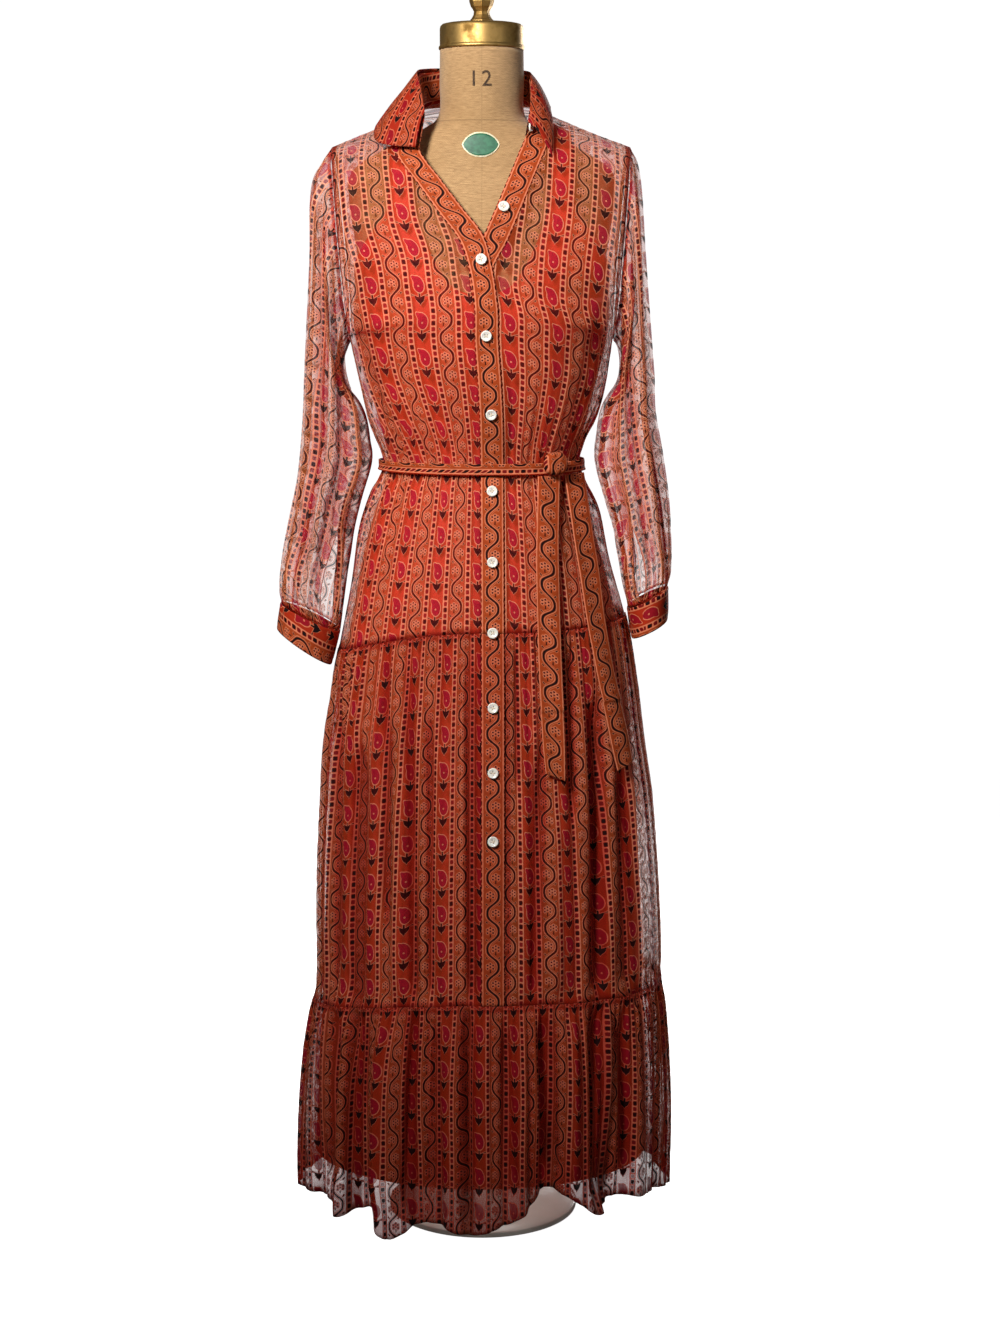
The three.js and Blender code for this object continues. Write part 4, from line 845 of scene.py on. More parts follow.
def tierFold(grid, angle, flat, edge, seed, rows, look):
    v, (fine, mid, soft), (sway, slow) = grid["v"], look["spacing"], look["sway"]
    fold = (along(look["depths"], "v", "fine", v) * pleats(flat, fine, seed)
            + along(look["depths"], "v", "mid", v) * pleats(flat, mid, seed + 1)
            + along(look["depths"], "v", "soft", v) * look["softness"]
            * pleats(flat + sway * wander(v * slow, seed), soft, seed + 2, 1.1))
    fold = fold + tierCrease * creases(rows, grid["x"], grid["z"]) + crinkle(flat, grid["z"], seed)
    fold = np.maximum(fold, -roomInside(grid, angle)) * np.clip(edge / 12, 0, 1)
    fromSeam = 1 - v if look["hangs"] else v
    return lerp(fold, seamWave(angle) * np.clip(edge / 6, 0, 1), np.clip(1 - fromSeam / 0.06, 0, 1) ** 1.5)


skirtLook = {"depths": skirtDepths, "spacing": (10.5, 23, 58), "softness": 0.75, "sway": (9, 2.2), "hangs": False,
             "fullness": 1.32}
tierDoubling = 0.45


def skirtPanel(name, fromAngle, toAngle, columns, rows, printStart, seed, lines):
    def angleOf(u, v):
        return lerp(fromAngle(v), toAngle(v), u)

    def surface(u, v):
        return skirtPoint(angleOf(u, v), v)
    grid = lattice(columns, rows, surface)
    flat = grid["across"] / grid["width"] * grid["across"][rows // 2, -1] * skirtLook["fullness"]
    fold = tierFold(grid, angleOf(grid["u"], grid["v"]), flat, grid["toSide"], seed, lines, skirtLook)
    rim = np.minimum(grid["toSide"], np.minimum(grid["toTop"], grid["up"]))
    # seam allowances and hems lie double; folded adds painted shade in the fold troughs over a base level
    doublingAndShade = tierDoubling * nearEdge(rim, 8) + folded(fold, 0.3)
    return sheetMesh(name, [(grid, fold, flat + printStart, -grid["toTop"], doublingAndShade)], chiffon)


def skirtBand():
    def surface(u, v):
        return skirtPoint(bandAngle(v, lerp(-halfBand, halfBand, u)), v)
    grid = lattice(16, 130, surface)
    fold = bandFold(grid, lapLift + 1.2 * wander(grid["up"] / 70, 2), 0.7 * wander(grid["up"] / 15, 6))
    printX = grid["across"] - grid["width"] / 2 + stripeMiddle
    return sheetMesh("placketSkirt", [(grid, fold, printX, grid["up"] + 6, 0.3)], doubled, 1.1)


halfBand = bandWidth / 2
rightSide, leftSide, rightAgain = -math.pi / 2, math.pi / 2, 3 * math.pi / 2  # angles of the side seams
sew(skirtPanel("skirtFrontRight", lambda v: rightSide + 0 * v, lambda v: bandAngle(v, -halfBand), 156, 96,
               -12, 1, skirtCreases), "printed_chiffon", "skirt_front_right",
    0.36, 0.47, 1.0, "gathered", ["bodiceFrontRight"])
sew(skirtPanel("skirtFrontLeft", lambda v: bandAngle(v, halfBand), lambda v: leftSide + 0 * v, 156, 96,
               22, 2, skirtCreases), "printed_chiffon", "skirt_front_left",
    0.36, 0.47, 1.0, "gathered", ["bodiceFrontLeft"])
sew(skirtPanel("skirtBack", lambda v: leftSide + 0 * v, lambda v: rightAgain + 0 * v, 264, 84,
               5, 3, skirtBackCreases), "printed_chiffon", "skirt_back", 0.74, 0.47, 1.0, "gathered", ["bodiceBack"])
sew(skirtBand(), "printed_band", "placket_skirt", 0.031, 0.47, 1.0, "hung", ["skirtFrontRight"])

# ---- ruffle ----
hemFolds = table(
    "at out up",
    (-96, 6, 37), (-78, 7, 38), (-62, -10, 43), (-50, 10, 33), (-41, -12, 50), (-32, 12, 20),
    (-21, -10, 44), (-7, 13, 38), (3, 3, 47), (10, 9, 64), (17, -13, 90), (25, 1, 76), (34, 13, 51),
    (45, -17, 60), (57, 3, 52), (67, -4, 48), (82, 7, 40), (98, -9, 45), (114, 11, 34), (130, -12, 46),
    (146, 12, 33), (161, -10, 48), (177, 13, 35), (193, -12, 47), (209, 12, 34), (226, -11, 45),
    (243, 10, 36), (254, -6, 41), (264, 6, 37))
ruffleDepths = table("v fine mid soft", (0, 0.3, 1.6, 4.5), (0.28, 0.4, 2.0, 4.5), (0.62, 1.2, 2.6, 3.4),
                     (0.86, 2.4, 2.4, 1.6), (0.95, 2.8, 1.4, 0.6), (1, 1.6, 0.6, 0.2))
ruffleCreases = creaseTable(
    (-160, 305, -166, 40, 9, 8), (-86, 318, -96, 60, 8, 6), (-18, 322, -22, 40, 9, 7), (-60, 300, -66, 80, 4, 5),
    (30, 300, 38, 90, 5, 6), (78, 310, 88, 110, 6, 7), (146, 318, 150, 60, 10, 8), (176, 300, 186, 90, 4, 6),
    (-190, 300, -198, 70, 4.5, 6), (-124, 290, -130, 60, -4, 8), (112, 300, 118, 90, -4, 9))
ruffleBackCreases = creaseTable(
    (-168, 300, -176, 60, 8, 8), (-112, 310, -120, 60, 7, 7), (-58, 310, -62, 60, 8, 7), (0, 312, 3, 60, 7, 7),
    (60, 310, 66, 60, 8, 7), (118, 310, 126, 60, 7, 7), (176, 300, 188, 60, 8, 8))


def hemAt(angle, key):
    degrees = np.degrees(angle)
    return along(hemFolds, "at", key, np.where(degrees < -96, degrees + 360, degrees))


def rufflePoint(angle, v):
    top = seamHeight(ruffleSeam, angle)
    z = lerp(hemAt(angle, "up"), top, v)
    out = hemAt(angle, "out") * (1 - v) ** 0.8
    at = dressPoint(angle, z)
    middle = lineX(z)
    distance = np.hypot(at[..., 0] - middle, at[..., 1])
    grow = (distance + out) / distance
    return point(middle + (at[..., 0] - middle) * grow, at[..., 1] * grow, z)


ruffleLook = {"depths": ruffleDepths, "spacing": (11.5, 25, 52), "softness": 0.8, "sway": (7, 2), "hangs": True,
              "fullness": 1.35}


def rufflePanel(name, fromAngle, toAngle, columns, rows, printStart, seed, lines):
    def surface(u, v):
        return rufflePoint(lerp(fromAngle, toAngle, u), v)
    grid = lattice(columns, rows, surface)
    flat = grid["across"][rows // 2] * ruffleLook["fullness"] + 0 * grid["v"]
    edge = np.minimum(grid["u"], 1 - grid["u"]) * grid["across"][rows // 2, -1]
    fold = tierFold(grid, lerp(fromAngle, toAngle, grid["u"]), flat, edge, seed, lines, ruffleLook)
    rim = np.minimum(edge, np.minimum(grid["toTop"] + 2, grid["up"] + 3))
    # seam allowances and hems lie double; folded adds painted shade in the fold troughs over a base level, and the last
    # 90 mm above the hem is painted denser and darker, as shade
    doublingAndShade = tierDoubling * nearEdge(rim, 8) + folded(fold, 0.55) + 0.4 * np.clip(1 - grid["up"] / 90, 0, 1)
    return sheetMesh(name, [(grid, fold, flat + printStart, -grid["toTop"], doublingAndShade)], chiffon)


sew(rufflePanel("ruffleFront", rightSide, leftSide, 330, 54, 20, 4, ruffleCreases), "printed_chiffon", "ruffle_front",
    0.95, 0.29, 1.0, "gathered", ["skirtFrontRight", "skirtFrontLeft"])
sew(rufflePanel("ruffleBack", leftSide, rightAgain, 290, 48, 9, 7, ruffleBackCreases), "printed_chiffon", "ruffle_back",
    0.92, 0.29, 1.0, "gathered", ["skirtBack"])
print("skirt ready")

# ---- sleeves ----
sleeveDepths = table("v fine mid soft", (0, 0.3, 0.5, 0.8), (1, 0.5, 1.2, 2.4), (4, 0.6, 2.0, 5.0), (6, 0.8, 2.4, 5.6),
                     (8, 1.6, 2.8, 3.8), (9.3, 2.6, 1.8, 1.4), (10, 1.6, 0.8, 0.2))
sleeveCreases = {
    -1: creaseTable((-196, 1330, -206, 1000, 5, 7), (-172, 1150, -176, 900, 6, 7),
              (-232, 1100, -240, 880, 4, 6), (-212, 1060, -222, 860, 4.5, 6), (-188, 1040, -200, 860, 4, 6)),
    1: creaseTable((186, 1330, 196, 1010, 5, 6), (170, 1150, 178, 900, 6, 7),
             (214, 1090, 226, 880, 4, 6), (196, 1080, 208, 880, 4.5, 6))}
slits = {-1: (math.radians(130), 17), 1: (math.radians(-250), 13)}  # where it is, half its width in degrees
sleeveAround, sleeveRadius = 430, 66  # of flat cloth, and of the arm


def sleevePanel(name, stations, side, printStart):
    last = len(stations["outX"]) - 1
    slitTurn, slitHalf = slits[side]

    def surface(u, v):
        v = (1 - v) * last
        gape = np.sin(np.clip((v - 7.5) / 2.5, 0, 1) * math.pi) ** 0.8 * np.radians(slitHalf)
        pull = gape * (np.exp(-(u / 0.05) ** 2) - np.exp(-((1 - u) / 0.05) ** 2))
        turn = -side * (2 * math.pi * u + pull) + slitTurn
        at = sleevePoint(stations, turn, v)
        at[..., 0] += side * 1.0 * np.clip(1 - v, 0, 1)
        return at
    grid = lattice(132, 118, surface, closed=True)
    v = (1 - grid["v"]) * last
    around = grid["across"] / grid["width"]
    # whole waves round the sleeve, so that they meet at its closing line
    turn = 2 * math.pi * grid["u"]
    waves = {"fine": np.sin(turn * 30 + 1.6 * np.sin(turn * 4 + 1)) * (0.7 + 0.3 * np.sin(turn * 3 + side)),
             "mid": np.sin(turn * 15 + 1.2 * np.sin(turn * 3 + side)),
             "soft": np.sin(turn * 7 + 1.1 * np.sin(turn * 2 + 0.4 * side) + 0.15 * v)}
    fold = sum(along(sleeveDepths, "v", key, v) * wave for key, wave in waves.items())
    meet = np.clip(np.minimum(grid["u"], 1 - grid["u"]) / 0.02, 0, 1)
    fold = fold + creases(sleeveCreases[side], grid["x"], grid["z"]) * np.clip(v / 2, 0, 1)
    fold = (fold - 0.4 * along(sleeveDepths, "v", "soft", v)) * (0.35 + 0.65 * meet)
    fold = lerp(fold, fold[:, :1] * 0.5 + fold[:, -1:] * 0.5, 1 - meet)
    underSeam = np.abs(np.mod(-side * turn + slitTurn, 2 * math.pi) - math.pi) * sleeveRadius
    slit = np.where(v > 7.4, np.minimum(around, 1 - around) * sleeveAround, 99)
    rim = np.minimum(np.minimum(underSeam, slit + 4), np.minimum(grid["toTop"], grid["up"] + 3))
    # seam allowances, hems and the slit lie double; folded adds painted shade in the fold troughs
    doublingAndShade = np.maximum(nearEdge(rim, 6), 0.6 * folded(fold, 0.0)) - 0.1
    return sheetMesh(name, [(grid, fold, -side * around * sleeveAround + printStart, grid["up"], doublingAndShade)], chiffon)


def cuffPiece(name, stations, side, printStart):
    def surface(u, v):
        return sleevePoint(stations, -side * 2 * math.pi * u + slits[side][0], v)
    grid = lattice(120, 20, surface, closed=True)
    fold = (1.6 + 0.5 * np.sin(2 * math.pi * grid["u"] * 4 + side) * np.sin(grid["v"] * 5)
            + stitchedRim(np.minimum(grid["v"], 1 - grid["v"]), 0.06, 0.13, 0.03))
    return sheetMesh(name, [(grid, fold, printStart + grid["up"], side * grid["across"], 0)], doubled, 1.6, merge=0.2)


sew(sleevePanel("sleeveRight", rightSleeve, -1, 12), "printed_chiffon", "sleeve_right",
    0.43, 0.52, 0.8, "hung", ["bodiceFrontRight", "bodiceBack"])
sew(sleevePanel("sleeveLeft", leftSleeve, 1, 20), "printed_chiffon", "sleeve_left",
    0.43, 0.52, 0.8, "hung", ["bodiceFrontLeft", "bodiceBack"])
sew(cuffPiece("cuffRight", rightCuff, -1, -36), "printed_band", "cuff_right", 0.25, 0.042, 1.0, "hung", ["sleeveRight"])
sew(cuffPiece("cuffLeft", leftCuff, 1, -24), "printed_band", "cuff_left", 0.25, 0.042, 1.0, "hung", ["sleeveLeft"])
print("sleeves ready")

# ---- collar ----
collarStations = {
    "base": table("x y z", (-76, -74, 1386), (-79, -39, 1419), (-74, 0, 1441), (-61, 38, 1450), (-34, 60, 1456),
                  (0, 67, 1457), (32, 60, 1456), (56, 38, 1450), (62, 0, 1439), (64, -34, 1422), (54, -64, 1400)),
    "fold": table("x y z", (-69, -63, 1428), (-75, -36, 1460), (-79, 0, 1481), (-65, 41, 1488), (-36, 65, 1491),
                  (0, 72, 1492), (34, 64, 1489), (57, 40, 1484), (60, 0, 1474), (61, -34, 1449), (57, -62, 1416)),
    "edge": table("x y z", (-80, -80, 1386), (-108, -74, 1388), (-130, -56, 1396), (-125, 6, 1424), (-84, 62, 1440),
                  (0, 100, 1448), (62, 74, 1444), (83, 34, 1440), (85, -12, 1434), (87, -46, 1412), (85, -82, 1376))}
collarLast, collarLength = 10, 430


def collarPoint(part, station):
    rows = collarStations[part]
    return point(*(rowAt(rows, key, station) for key in "xyz"))


def collarStand():
    def surface(u, v):
        at = (1 - u) * collarLast
        return lerp(collarPoint("base", at), collarPoint("fold", at), v[..., None] * 0.94)
    grid = lattice(120, 14, surface)
    fold = 0.7 + 0.3 * wander(grid["across"] / 19, 3)
    return sheetMesh("collarStand", [(grid, fold, grid["up"] + 18, grid["across"], 0)], doubled, 1.0)


def collarFall():
    def surface(u, v):
        at = (1 - u) * collarLast
        where = lerp(collarPoint("edge", at), collarPoint("fold", at), v[..., None])
        where[..., 2] += 5 * np.sin(v * math.pi) + 1.2 * v
        return where
    grid = lattice(150, 26, surface)
    rim = np.minimum(grid["up"], grid["toSide"])
    fold = 2.2 + 0.5 * wander(grid["across"] / 23, 8) + stitchedRim(rim, 1.2, 4.5, 0.8)
    printX = (grid["across"][-1] / grid["across"][-1, -1] + 0 * fold) * collarLength
    # the 0.35 darkens the whole collar fall through the doubled attribute: painted shade
    return sheetMesh("collarFall", [(grid, fold, printX, grid["up"], 0.35)], doubled, 1.3)


sew(collarStand(), "printed_band", "collar_stand", 0.42, 0.034, 1.0, "folded", ["bodiceBack"])
sew(collarFall(), "printed_band", "collar_fall", 0.50, 0.062, 1.0, "folded", ["collarStand"])
print("collar ready")

# ---- belt ----
frontTail = table("z x width", (982, 80, 27), (930, 80, 27), (870, 80, 28), (800, 82, 28), (740, 84, 28),
                  (693, 86, 28), (650, 88, 27), (612, 90, 24))
backTail = table("z x width", (982, 111, 23), (930, 119, 23), (870, 128, 24), (800, 139, 23), (740, 150, 22),
                 (693, 160, 22), (650, 169, 22), (615, 176, 19))
tailLift, tailWidth = 7.4, 27
knotPlace = {"x": 86, "z": 1000, "width": 34, "height": 27, "depth": 15, "lift": 17}


def beltBand():
    def surface(u, v):
        return dressPoint(u * 2 * math.pi, beltCentre + (v - 0.5) * beltHeight)
    grid = lattice(320, 14, surface, closed=True)
    angle = grid["u"] * 2 * math.pi
    nearKnot = np.exp(-((np.degrees(angle) - 52) / 16) ** 2)
    fold = 6.9 + stitchedRim(np.minimum(grid["v"], 1 - grid["v"]), 0.08, 0.16, 0.04, 0.3)
    fold = fold + (0.25 + 1.1 * nearKnot) * np.sin(grid["v"] * 7 + 3 * np.sin(angle * 5)) + 0.2 * np.sin(angle * 31)
    return sheetMesh("beltBand", [(grid, fold, 9 + grid["up"], grid["across"], 0)], doubled, 1.6, merge=0.3)


def beltTail(name, stations, tilt, seed, step):
    last = len(stations["z"]) - 1

    def surface(u, v):
        v = (1 - v) * last
        z, x, width = (rowAt(stations, key, v) for key in ("z", "x", "width"))
        slant = np.clip((v - last + 1.5) / 1.5, 0, 1) * tilt * (u - 0.5)
        return dressPoint(angleAt(x + (u - 0.5) * width, z), z + slant)
    grid = lattice(18, 150, surface)
    rim = np.minimum(grid["u"], 1 - grid["u"]) * tailWidth
    fold = tailLift + 1.2 + 0.9 * np.sin(grid["u"] * 5 + seed + grid["up"] / 60) + 0.8 * wander(grid["up"] / 33, seed)
    ledge = np.clip((grid["z"] - step) / 3 + 0.5, 0, 1)  # the tail is creased across here
    fold = fold + 0.4 * np.clip(rim / 1.2, 0, 1) + 2.2 * ledge * np.exp(-np.clip(grid["z"] - step, 0, 999) / 60)
    return sheetMesh(name, [(grid, fold, grid["u"] * tailWidth + 18, grid["up"] + 20, 0)], doubled, 1.6)


def beltKnot():
    # a short stretch of the belt wrapped over and under it, pulled in at its middle
    shape = knotPlace
    bm = bmesh.new()
    clothUv = bm.loops.layers.uv.new("cloth")
    bm.verts.layers.float.new("doubled")
    bmesh.ops.create_uvsphere(bm, u_segments=56, v_segments=36, radius=0.5)
    angle = angleAt(shape["x"], shape["z"])
    middle = dressPoint(angle, shape["z"]) + np.array([0.35, -0.94, 0]) * shape["lift"]
    for vert in bm.verts:
        x, y, z = (math.copysign(abs(c) ** 0.8, c) for c in vert.co * 2)
        crease = 0.9 * math.sin(z * 5 + x * 3) + 0.6 * math.sin(x * 9 - z * 2)
        vert.co = x * shape["width"] * 0.47, y * (shape["depth"] * 0.5 + crease * 0.6), z * shape["height"] * 0.53
    for face in bm.faces:
        face.smooth = True
        for loop in face.loops:
            at = loop.vert.co
            loop[clothUv].uv = ((at.x + stripeMiddle) * mm, (at.z * 1.1 + at.y) * mm)
    bmesh.ops.transform(bm, verts=bm.verts, matrix=Matrix.Translation(Vector(middle) * mm)
                        @ Matrix.Rotation(float(angle * 0.7), 4, "Z") @ Matrix.Scale(mm, 4))
    return finishMesh("beltKnot", bm, doubled)


sew(beltBand(), "printed_band", "belt_band", 0.72, 0.0175, 1.0, "stretched",
    ["bodiceFrontRight", "bodiceFrontLeft", "bodiceBack"])
sew(beltTail("beltTailFront", frontTail, -11, 1, 693), "printed_band", "belt_tail_front",
    0.028, 0.38, 1.0, "hung", ["beltKnot"])
sew(beltTail("beltTailBack", backTail, 6, 4, 700), "printed_band", "belt_tail_back",
    0.024, 0.38, 1.0, "hung", ["beltKnot"])
place(beltKnot(), "printed_band", "belt_knot")
print("belt ready")


# ---- turned parts, buttons and the form ----
def spun(profile, steps):
    bm = bmesh.new()
    verts = [bm.verts.new((r * mm, 0, z * mm)) for r, z in profile]
    edges = [bm.edges.new(pair) for pair in zip(verts, verts[1:])]
    bmesh.ops.spin(bm, geom=verts + edges, axis=(0, 0, 1), cent=(0, 0, 0), angle=2 * math.pi, steps=steps,
                   use_merge=True)
    bmesh.ops.remove_doubles(bm, verts=bm.verts, dist=0.00001)
    bmesh.ops.recalc_face_normals(bm, faces=bm.faces)
    return bm


def roundOff(bm, edges, width):
    bmesh.ops.bevel(bm, geom=edges, offset=width * mm, offset_type="OFFSET", affect="EDGES", segments=2,
                    profile=0.5, material=-1)


def turned(name, profile, material, steps=72, bevel=0.0):
    bm = spun(profile, steps)
    if bevel:
        roundOff(bm, [e for e in bm.edges if e.is_manifold and e.calc_face_angle(0) > 0.6], bevel)
    for face in bm.faces:
        face.smooth = True
    return finishMesh(name, bm, material)


baseProfile = [(0, 0), (125, 0), (125, 7), (118, 10.5), (106, 12.3), (60, 17), (38, 22), (0, 22)]
poleProfile = [(0, 22.4), (12, 22.4), (12, 688), (0, 688)]
capProfile = [(0, 1509.8), (53.0, 1509.8), (53.8, 1510.6), (53.9, 1512.4), (53.4, 1513.9), (52.5, 1514.6),
              (52.4, 1515.4), (52.4, 1535), (51.6, 1538.2), (49.6, 1540.2), (46, 1541), (30, 1541.4), (0, 1541.4)]
finialProfile = [(0, 1541.6), (15.2, 1541.6), (15.8, 1542.6), (15.4, 1545.0), (12.6, 1548.2), (10.4, 1552),
                 (9.9, 1556), (11.6, 1559.4), (13.6, 1562), (15.6, 1568), (15.9, 1573), (14.6, 1580), (10, 1586.4),
                 (5, 1589.2), (0, 1589.4)]


def finial():  # eight flat sides, with soft ridges between them
    bm = spun(finialProfile, 8)
    roundOff(bm, [e for e in bm.edges if e.is_manifold and abs(e.verts[0].co.z - e.verts[1].co.z) > 0.0002], 0.5)
    return finishMesh("neckFinial", bm, brass)


place(turned("standBase", baseProfile, enamel, 96, 1.2), "enamel", "stand_base")
place(turned("standPole", poleProfile, enamel, 48), "enamel", "stand_pole")
place(turned("neckCap", capProfile, brass, 96), "brass", "neck_cap")
place(finial(), "brass", "neck_finial")

formLevels = table(
    "z half front back",
    (690, 150, 110, 116), (760, 155, 110, 119), (830, 150, 106, 113), (900, 138, 95, 99), (960, 117, 83, 82),
    (993, 111, 80, 75), (1040, 114, 84, 75), (1100, 128, 101, 82), (1150, 141, 113, 87), (1190, 148, 116, 89),
    (1235, 154, 107, 89), (1285, 162, 94, 86), (1330, 168, 80, 77), (1362, 163, 66, 64), (1387, 126, 58, 56),
    (1404, 92, 55, 54), (1418, 66, 54.5, 54), (1430, 54, 54, 53.5), (1470, 53, 52.8, 52.8), (1509, 52.5, 52.5, 52.5))

formPower = [1404, 1424], [2.15, 2.0]  # rounder from the shoulders to the neck
formEnds = 690.5, 1509.2
neckSeam = 1421


def formRing(angle, z):
    power = 2 / np.interp(z, *formPower)
    s, c = np.sin(angle), np.cos(angle)
    deep = np.where(c > 0, along(formLevels, "z", "front", z), along(formLevels, "z", "back", z))
    return point(along(formLevels, "z", "half", z) * signedPower(s, power), -deep * signedPower(c, power), z)


def formBody():
    grid = lattice(112, 150, lambda u, v: formRing(u * 2 * math.pi, lerp(*formEnds, v)), closed=True)
    angle, z = grid["u"] * 2 * math.pi, grid["z"]
    fold = -0.25 - 0.5 * np.exp(-(np.abs(np.sin(angle)) * 60 / 1.6) ** 2) * (np.abs(np.cos(angle)) > 0.9)
    fold = fold - 0.8 * np.exp(-((z - neckSeam - 3 * np.cos(angle)) / 1.8) ** 2) + 0.25 * wander(angle * 3 + z / 37, 2)
    bm = bmesh.new()
    gridVerts(bm, grid, fold)
    bmesh.ops.remove_doubles(bm, verts=bm.verts, dist=0.0006)
    bmesh.ops.holes_fill(bm, edges=[e for e in bm.edges if e.is_boundary], sides=0)
    for face in bm.faces:
        face.smooth = len(face.verts) < 5
    return finishMesh("formBody", bm, linen)


place(formBody(), "linen", "form_body")


def onForm(x, z, lift):  # a point on the front of the form
    half, front = along(formLevels, "z", "half", z), along(formLevels, "z", "front", z)
    power = np.interp(z, *formPower)
    return np.array([x, -front * (1 - min(abs(x) / half, 1) ** power) ** (1 / power) - lift, z]) * mm


labelPlace = {"x": -1, "z": 1391}


def labelPart(name, wide, high, lift, material):
    # almond: two arcs that meet in points left and right
    bm = bmesh.new()
    bmesh.ops.create_grid(bm, x_segments=36, y_segments=10, size=0.5)
    for vert in bm.verts:
        s, t = vert.co.x * 2, vert.co.y * 2
        bow = (1 - abs(s) ** 2.2) ** 0.72
        vert.co = onForm(labelPlace["x"] + s * wide / 2, labelPlace["z"] + t * high / 2 * bow, lift)
    bmesh.ops.remove_doubles(bm, verts=bm.verts, dist=0.00005)
    for face in bm.faces:
        face.smooth = True
    place(finishMesh(name, bm, material, 0.25), "linen")


labelPart("formLabelEdge", 47, 31, 0.35, labelCream)
labelPart("formLabel", 43.5, 27.5, 0.6, labelGreen)


def finalMesh(piece, *spent):  # the mesh after its modifiers, and then the object goes
    bpy.context.view_layer.update()
    mesh = bpy.data.meshes.new_from_object(piece.evaluated_get(bpy.context.evaluated_depsgraph_get()))
    for used in (piece, *spent):
        bpy.data.objects.remove(used)
    return mesh


digitsPlace = {"x": -1.5, "z": 1462, "size": 0.027}


def sizeDigits():
    curve = bpy.data.curves.new("sizeDigits", "FONT")
    curve.body, curve.size, curve.space_character = "12", digitsPlace["size"], 1.2
    curve.align_x = "CENTER"
    curve.resolution_u = 6
    text = bpy.data.objects.new("sizeDigitsText", curve)
    bpy.context.scene.collection.objects.link(text)
    bm = bmesh.new()
    bm.from_mesh(finalMesh(text))
    bmesh.ops.subdivide_edges(bm, edges=bm.edges, cuts=2, use_grid_fill=True)
    bmesh.ops.remove_doubles(bm, verts=bm.verts, dist=0.00002)
    for vert in bm.verts:
        vert.co = onForm(vert.co.x / mm + digitsPlace["x"], digitsPlace["z"] + vert.co.y / mm, 0.2)
    bmesh.ops.recalc_face_normals(bm, faces=bm.faces)
    return finishMesh("sizeDigits", bm, stencilInk, 0.12)


place(sizeDigits(), "linen")

buttonSize = {"radius": 6.8, "thick": 2.6, "dish": 4.5, "hole": 0.75, "spread": 1.95}


def turnedBy(degrees, axis="Z"):
    return Matrix.Rotation(math.radians(degrees), 4, axis)


def movedBy(x, y, z):
    return Matrix.Translation((x * mm, y * mm, z * mm))


def rod(bm, segments, radius, length, matrix):
    bmesh.ops.create_cone(bm, cap_ends=True, segments=segments, radius1=radius * mm, radius2=radius * mm,
                          depth=length * mm, matrix=matrix)


def masterButton():
    r, h, dish = buttonSize["radius"], buttonSize["thick"], buttonSize["dish"]
    profile = [(0, 0), (r - 1.2, 0), (r - 0.4, 0.4), (r, 1.1), (r - 0.1, h - 0.6), (r - 0.7, h - 0.1), (r - 1.3, h),
               (dish + 0.3, h - 0.35), (dish - 0.6, h - 0.9), (0, h - 1.0)]
    body = turned("buttonMaster", profile, pearl, 40)
    bm = bmesh.new()
    for i in range(4):
        rod(bm, 14, buttonSize["hole"], 6, turnedBy(45 + 90 * i) @ movedBy(buttonSize["spread"], 0, 1))
    drill = finishMesh("buttonDrill", bm, pearl)
    hollow = body.modifiers.new("holes", "BOOLEAN")
    hollow.object, hollow.operation, hollow.solver = drill, "DIFFERENCE", "EXACT"
    return finalMesh(body, drill)


def buttonThreads(bm, matrix):
    for turn in (45, 135):
        for shift in (-0.28, 0.28):
            rod(bm, 8, 0.24, 4.4, matrix @ turnedBy(turn) @ movedBy(0, shift, 1.75) @ turnedBy(90, "Y"))
    rod(bm, 12, 1.3, 1.6, matrix @ movedBy(0, 0, -0.6))  # the shank


buttonMesh = masterButton()
threads = bmesh.new()
for number in range(1, 12):
    node = f"button_{number}"
    spots = np.array([v.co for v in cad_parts[node].data.vertices])
    middle = Vector(np.mean(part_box(node), axis=0))
    axis = np.linalg.svd(spots - spots.mean(0))[2][2]
    axis = Vector(axis if axis[1] < 0 else -axis)
    matrix = Matrix.Translation(middle - axis * buttonSize["thick"] / 2 * mm)
    matrix = matrix @ axis.to_track_quat("Z", "Y").to_matrix().to_4x4() @ turnedBy(23 * number)
    mesh = buttonMesh.copy()
    mesh.transform(matrix)
    mesh.name = f"button{number}"
    piece = bpy.data.objects.new(f"button{number}", mesh)
    bpy.context.scene.collection.objects.link(piece)
    place(piece, "pearl", node)
    buttonThreads(threads, matrix)
place(finishMesh("buttonThreads", threads, thread), "pearl")
print("form and buttons ready")

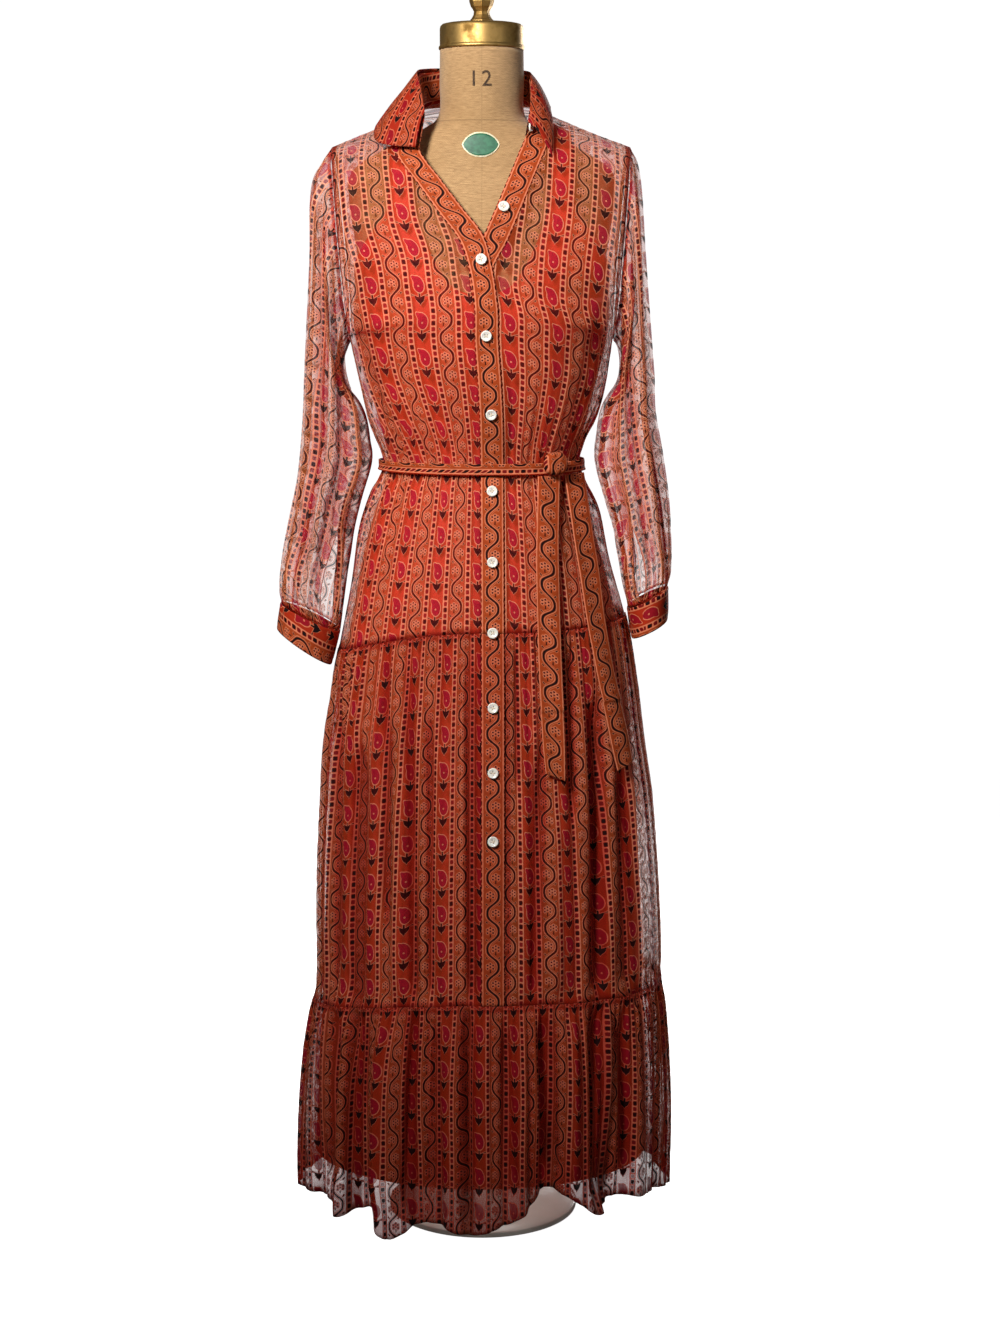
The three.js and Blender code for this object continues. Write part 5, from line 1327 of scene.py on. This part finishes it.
# ---- stage, light and camera ----
floorMaterial, tree, shader = newMaterial("paleFloor", {
    "Roughness": 0.9, "Base Color": (0.8, 0.8, 0.8, 1), "Emission Color": (1, 1, 1, 1), "Emission Strength": 0.95})
floorReach, wallCurve, wallTop = 4600, 1400, 6000  # a floor that turns up into a round wall
profile = ([(0, -0.5), (floorReach, -0.5)]
           + [(floorReach + wallCurve * math.sin(t), wallCurve * (1 - math.cos(t)) - 0.5)
              for t in np.linspace(0, math.pi / 2, 12)] + [(floorReach + wallCurve, wallTop - 0.5)])
backdrop = turned("backdrop", profile, floorMaterial, 96)
backdrop.visible_diffuse = backdrop.visible_glossy = False  # it sheds no light on the cloth
backdrop.visible_transmission = backdrop.visible_shadow = False

lights = {
    "key": {"kind": "SPOT", "at": (-0.9, -1.9, 2.25), "aim": (0, 0, 1.36), "power": 350, "size": 0.25},
    "fill": {"kind": "AREA", "at": (2.2, -2.4, 1.9), "aim": (0, 0, 1.4), "power": 8, "size": 1.2},
    "back": {"kind": "AREA", "at": (0.7, 2.3, 1.3), "aim": (0, 0, 0.95), "power": 85, "size": 1.8},
    "under": {"kind": "AREA", "at": (0, -0.04, 0.2), "aim": (0, -0.06, 0), "power": 0.16, "size": 0.16}}
for name, light in lights.items():
    data = bpy.data.lights.new(name, light["kind"])
    data.energy = light["power"]
    if light["kind"] == "SPOT":  # it fades towards the hem
        data.spot_size, data.spot_blend, data.shadow_soft_size = math.radians(66), 1.0, light["size"]
    else:
        data.size = light["size"]
    lamp = bpy.data.objects.new(name, data)
    lamp.location, lamp.visible_camera = light["at"], False
    lamp.rotation_euler = (Vector(light["aim"]) - Vector(light["at"])).to_track_quat("-Z", "Y").to_euler()
    bpy.context.scene.collection.objects.link(lamp)

world = bpy.data.worlds.new("studio")
world.use_nodes = True
world.node_tree.nodes["Background"].inputs[0].default_value = (1, 1, 1, 1)
world.node_tree.nodes["Background"].inputs[1].default_value = 0.07
bpy.context.scene.world = world
bpy.context.scene.view_settings.view_transform = "Standard"

cameraData = bpy.data.cameras.new("camera")
cameraData.lens = 64.8
camera = bpy.data.objects.new("camera", cameraData)
camera.location = (0.0228, -3.080, 1.218)
camera.rotation_euler = (math.radians(90 - 9.0), 0, 0)
bpy.context.scene.collection.objects.link(camera)
bpy.context.scene.camera = camera
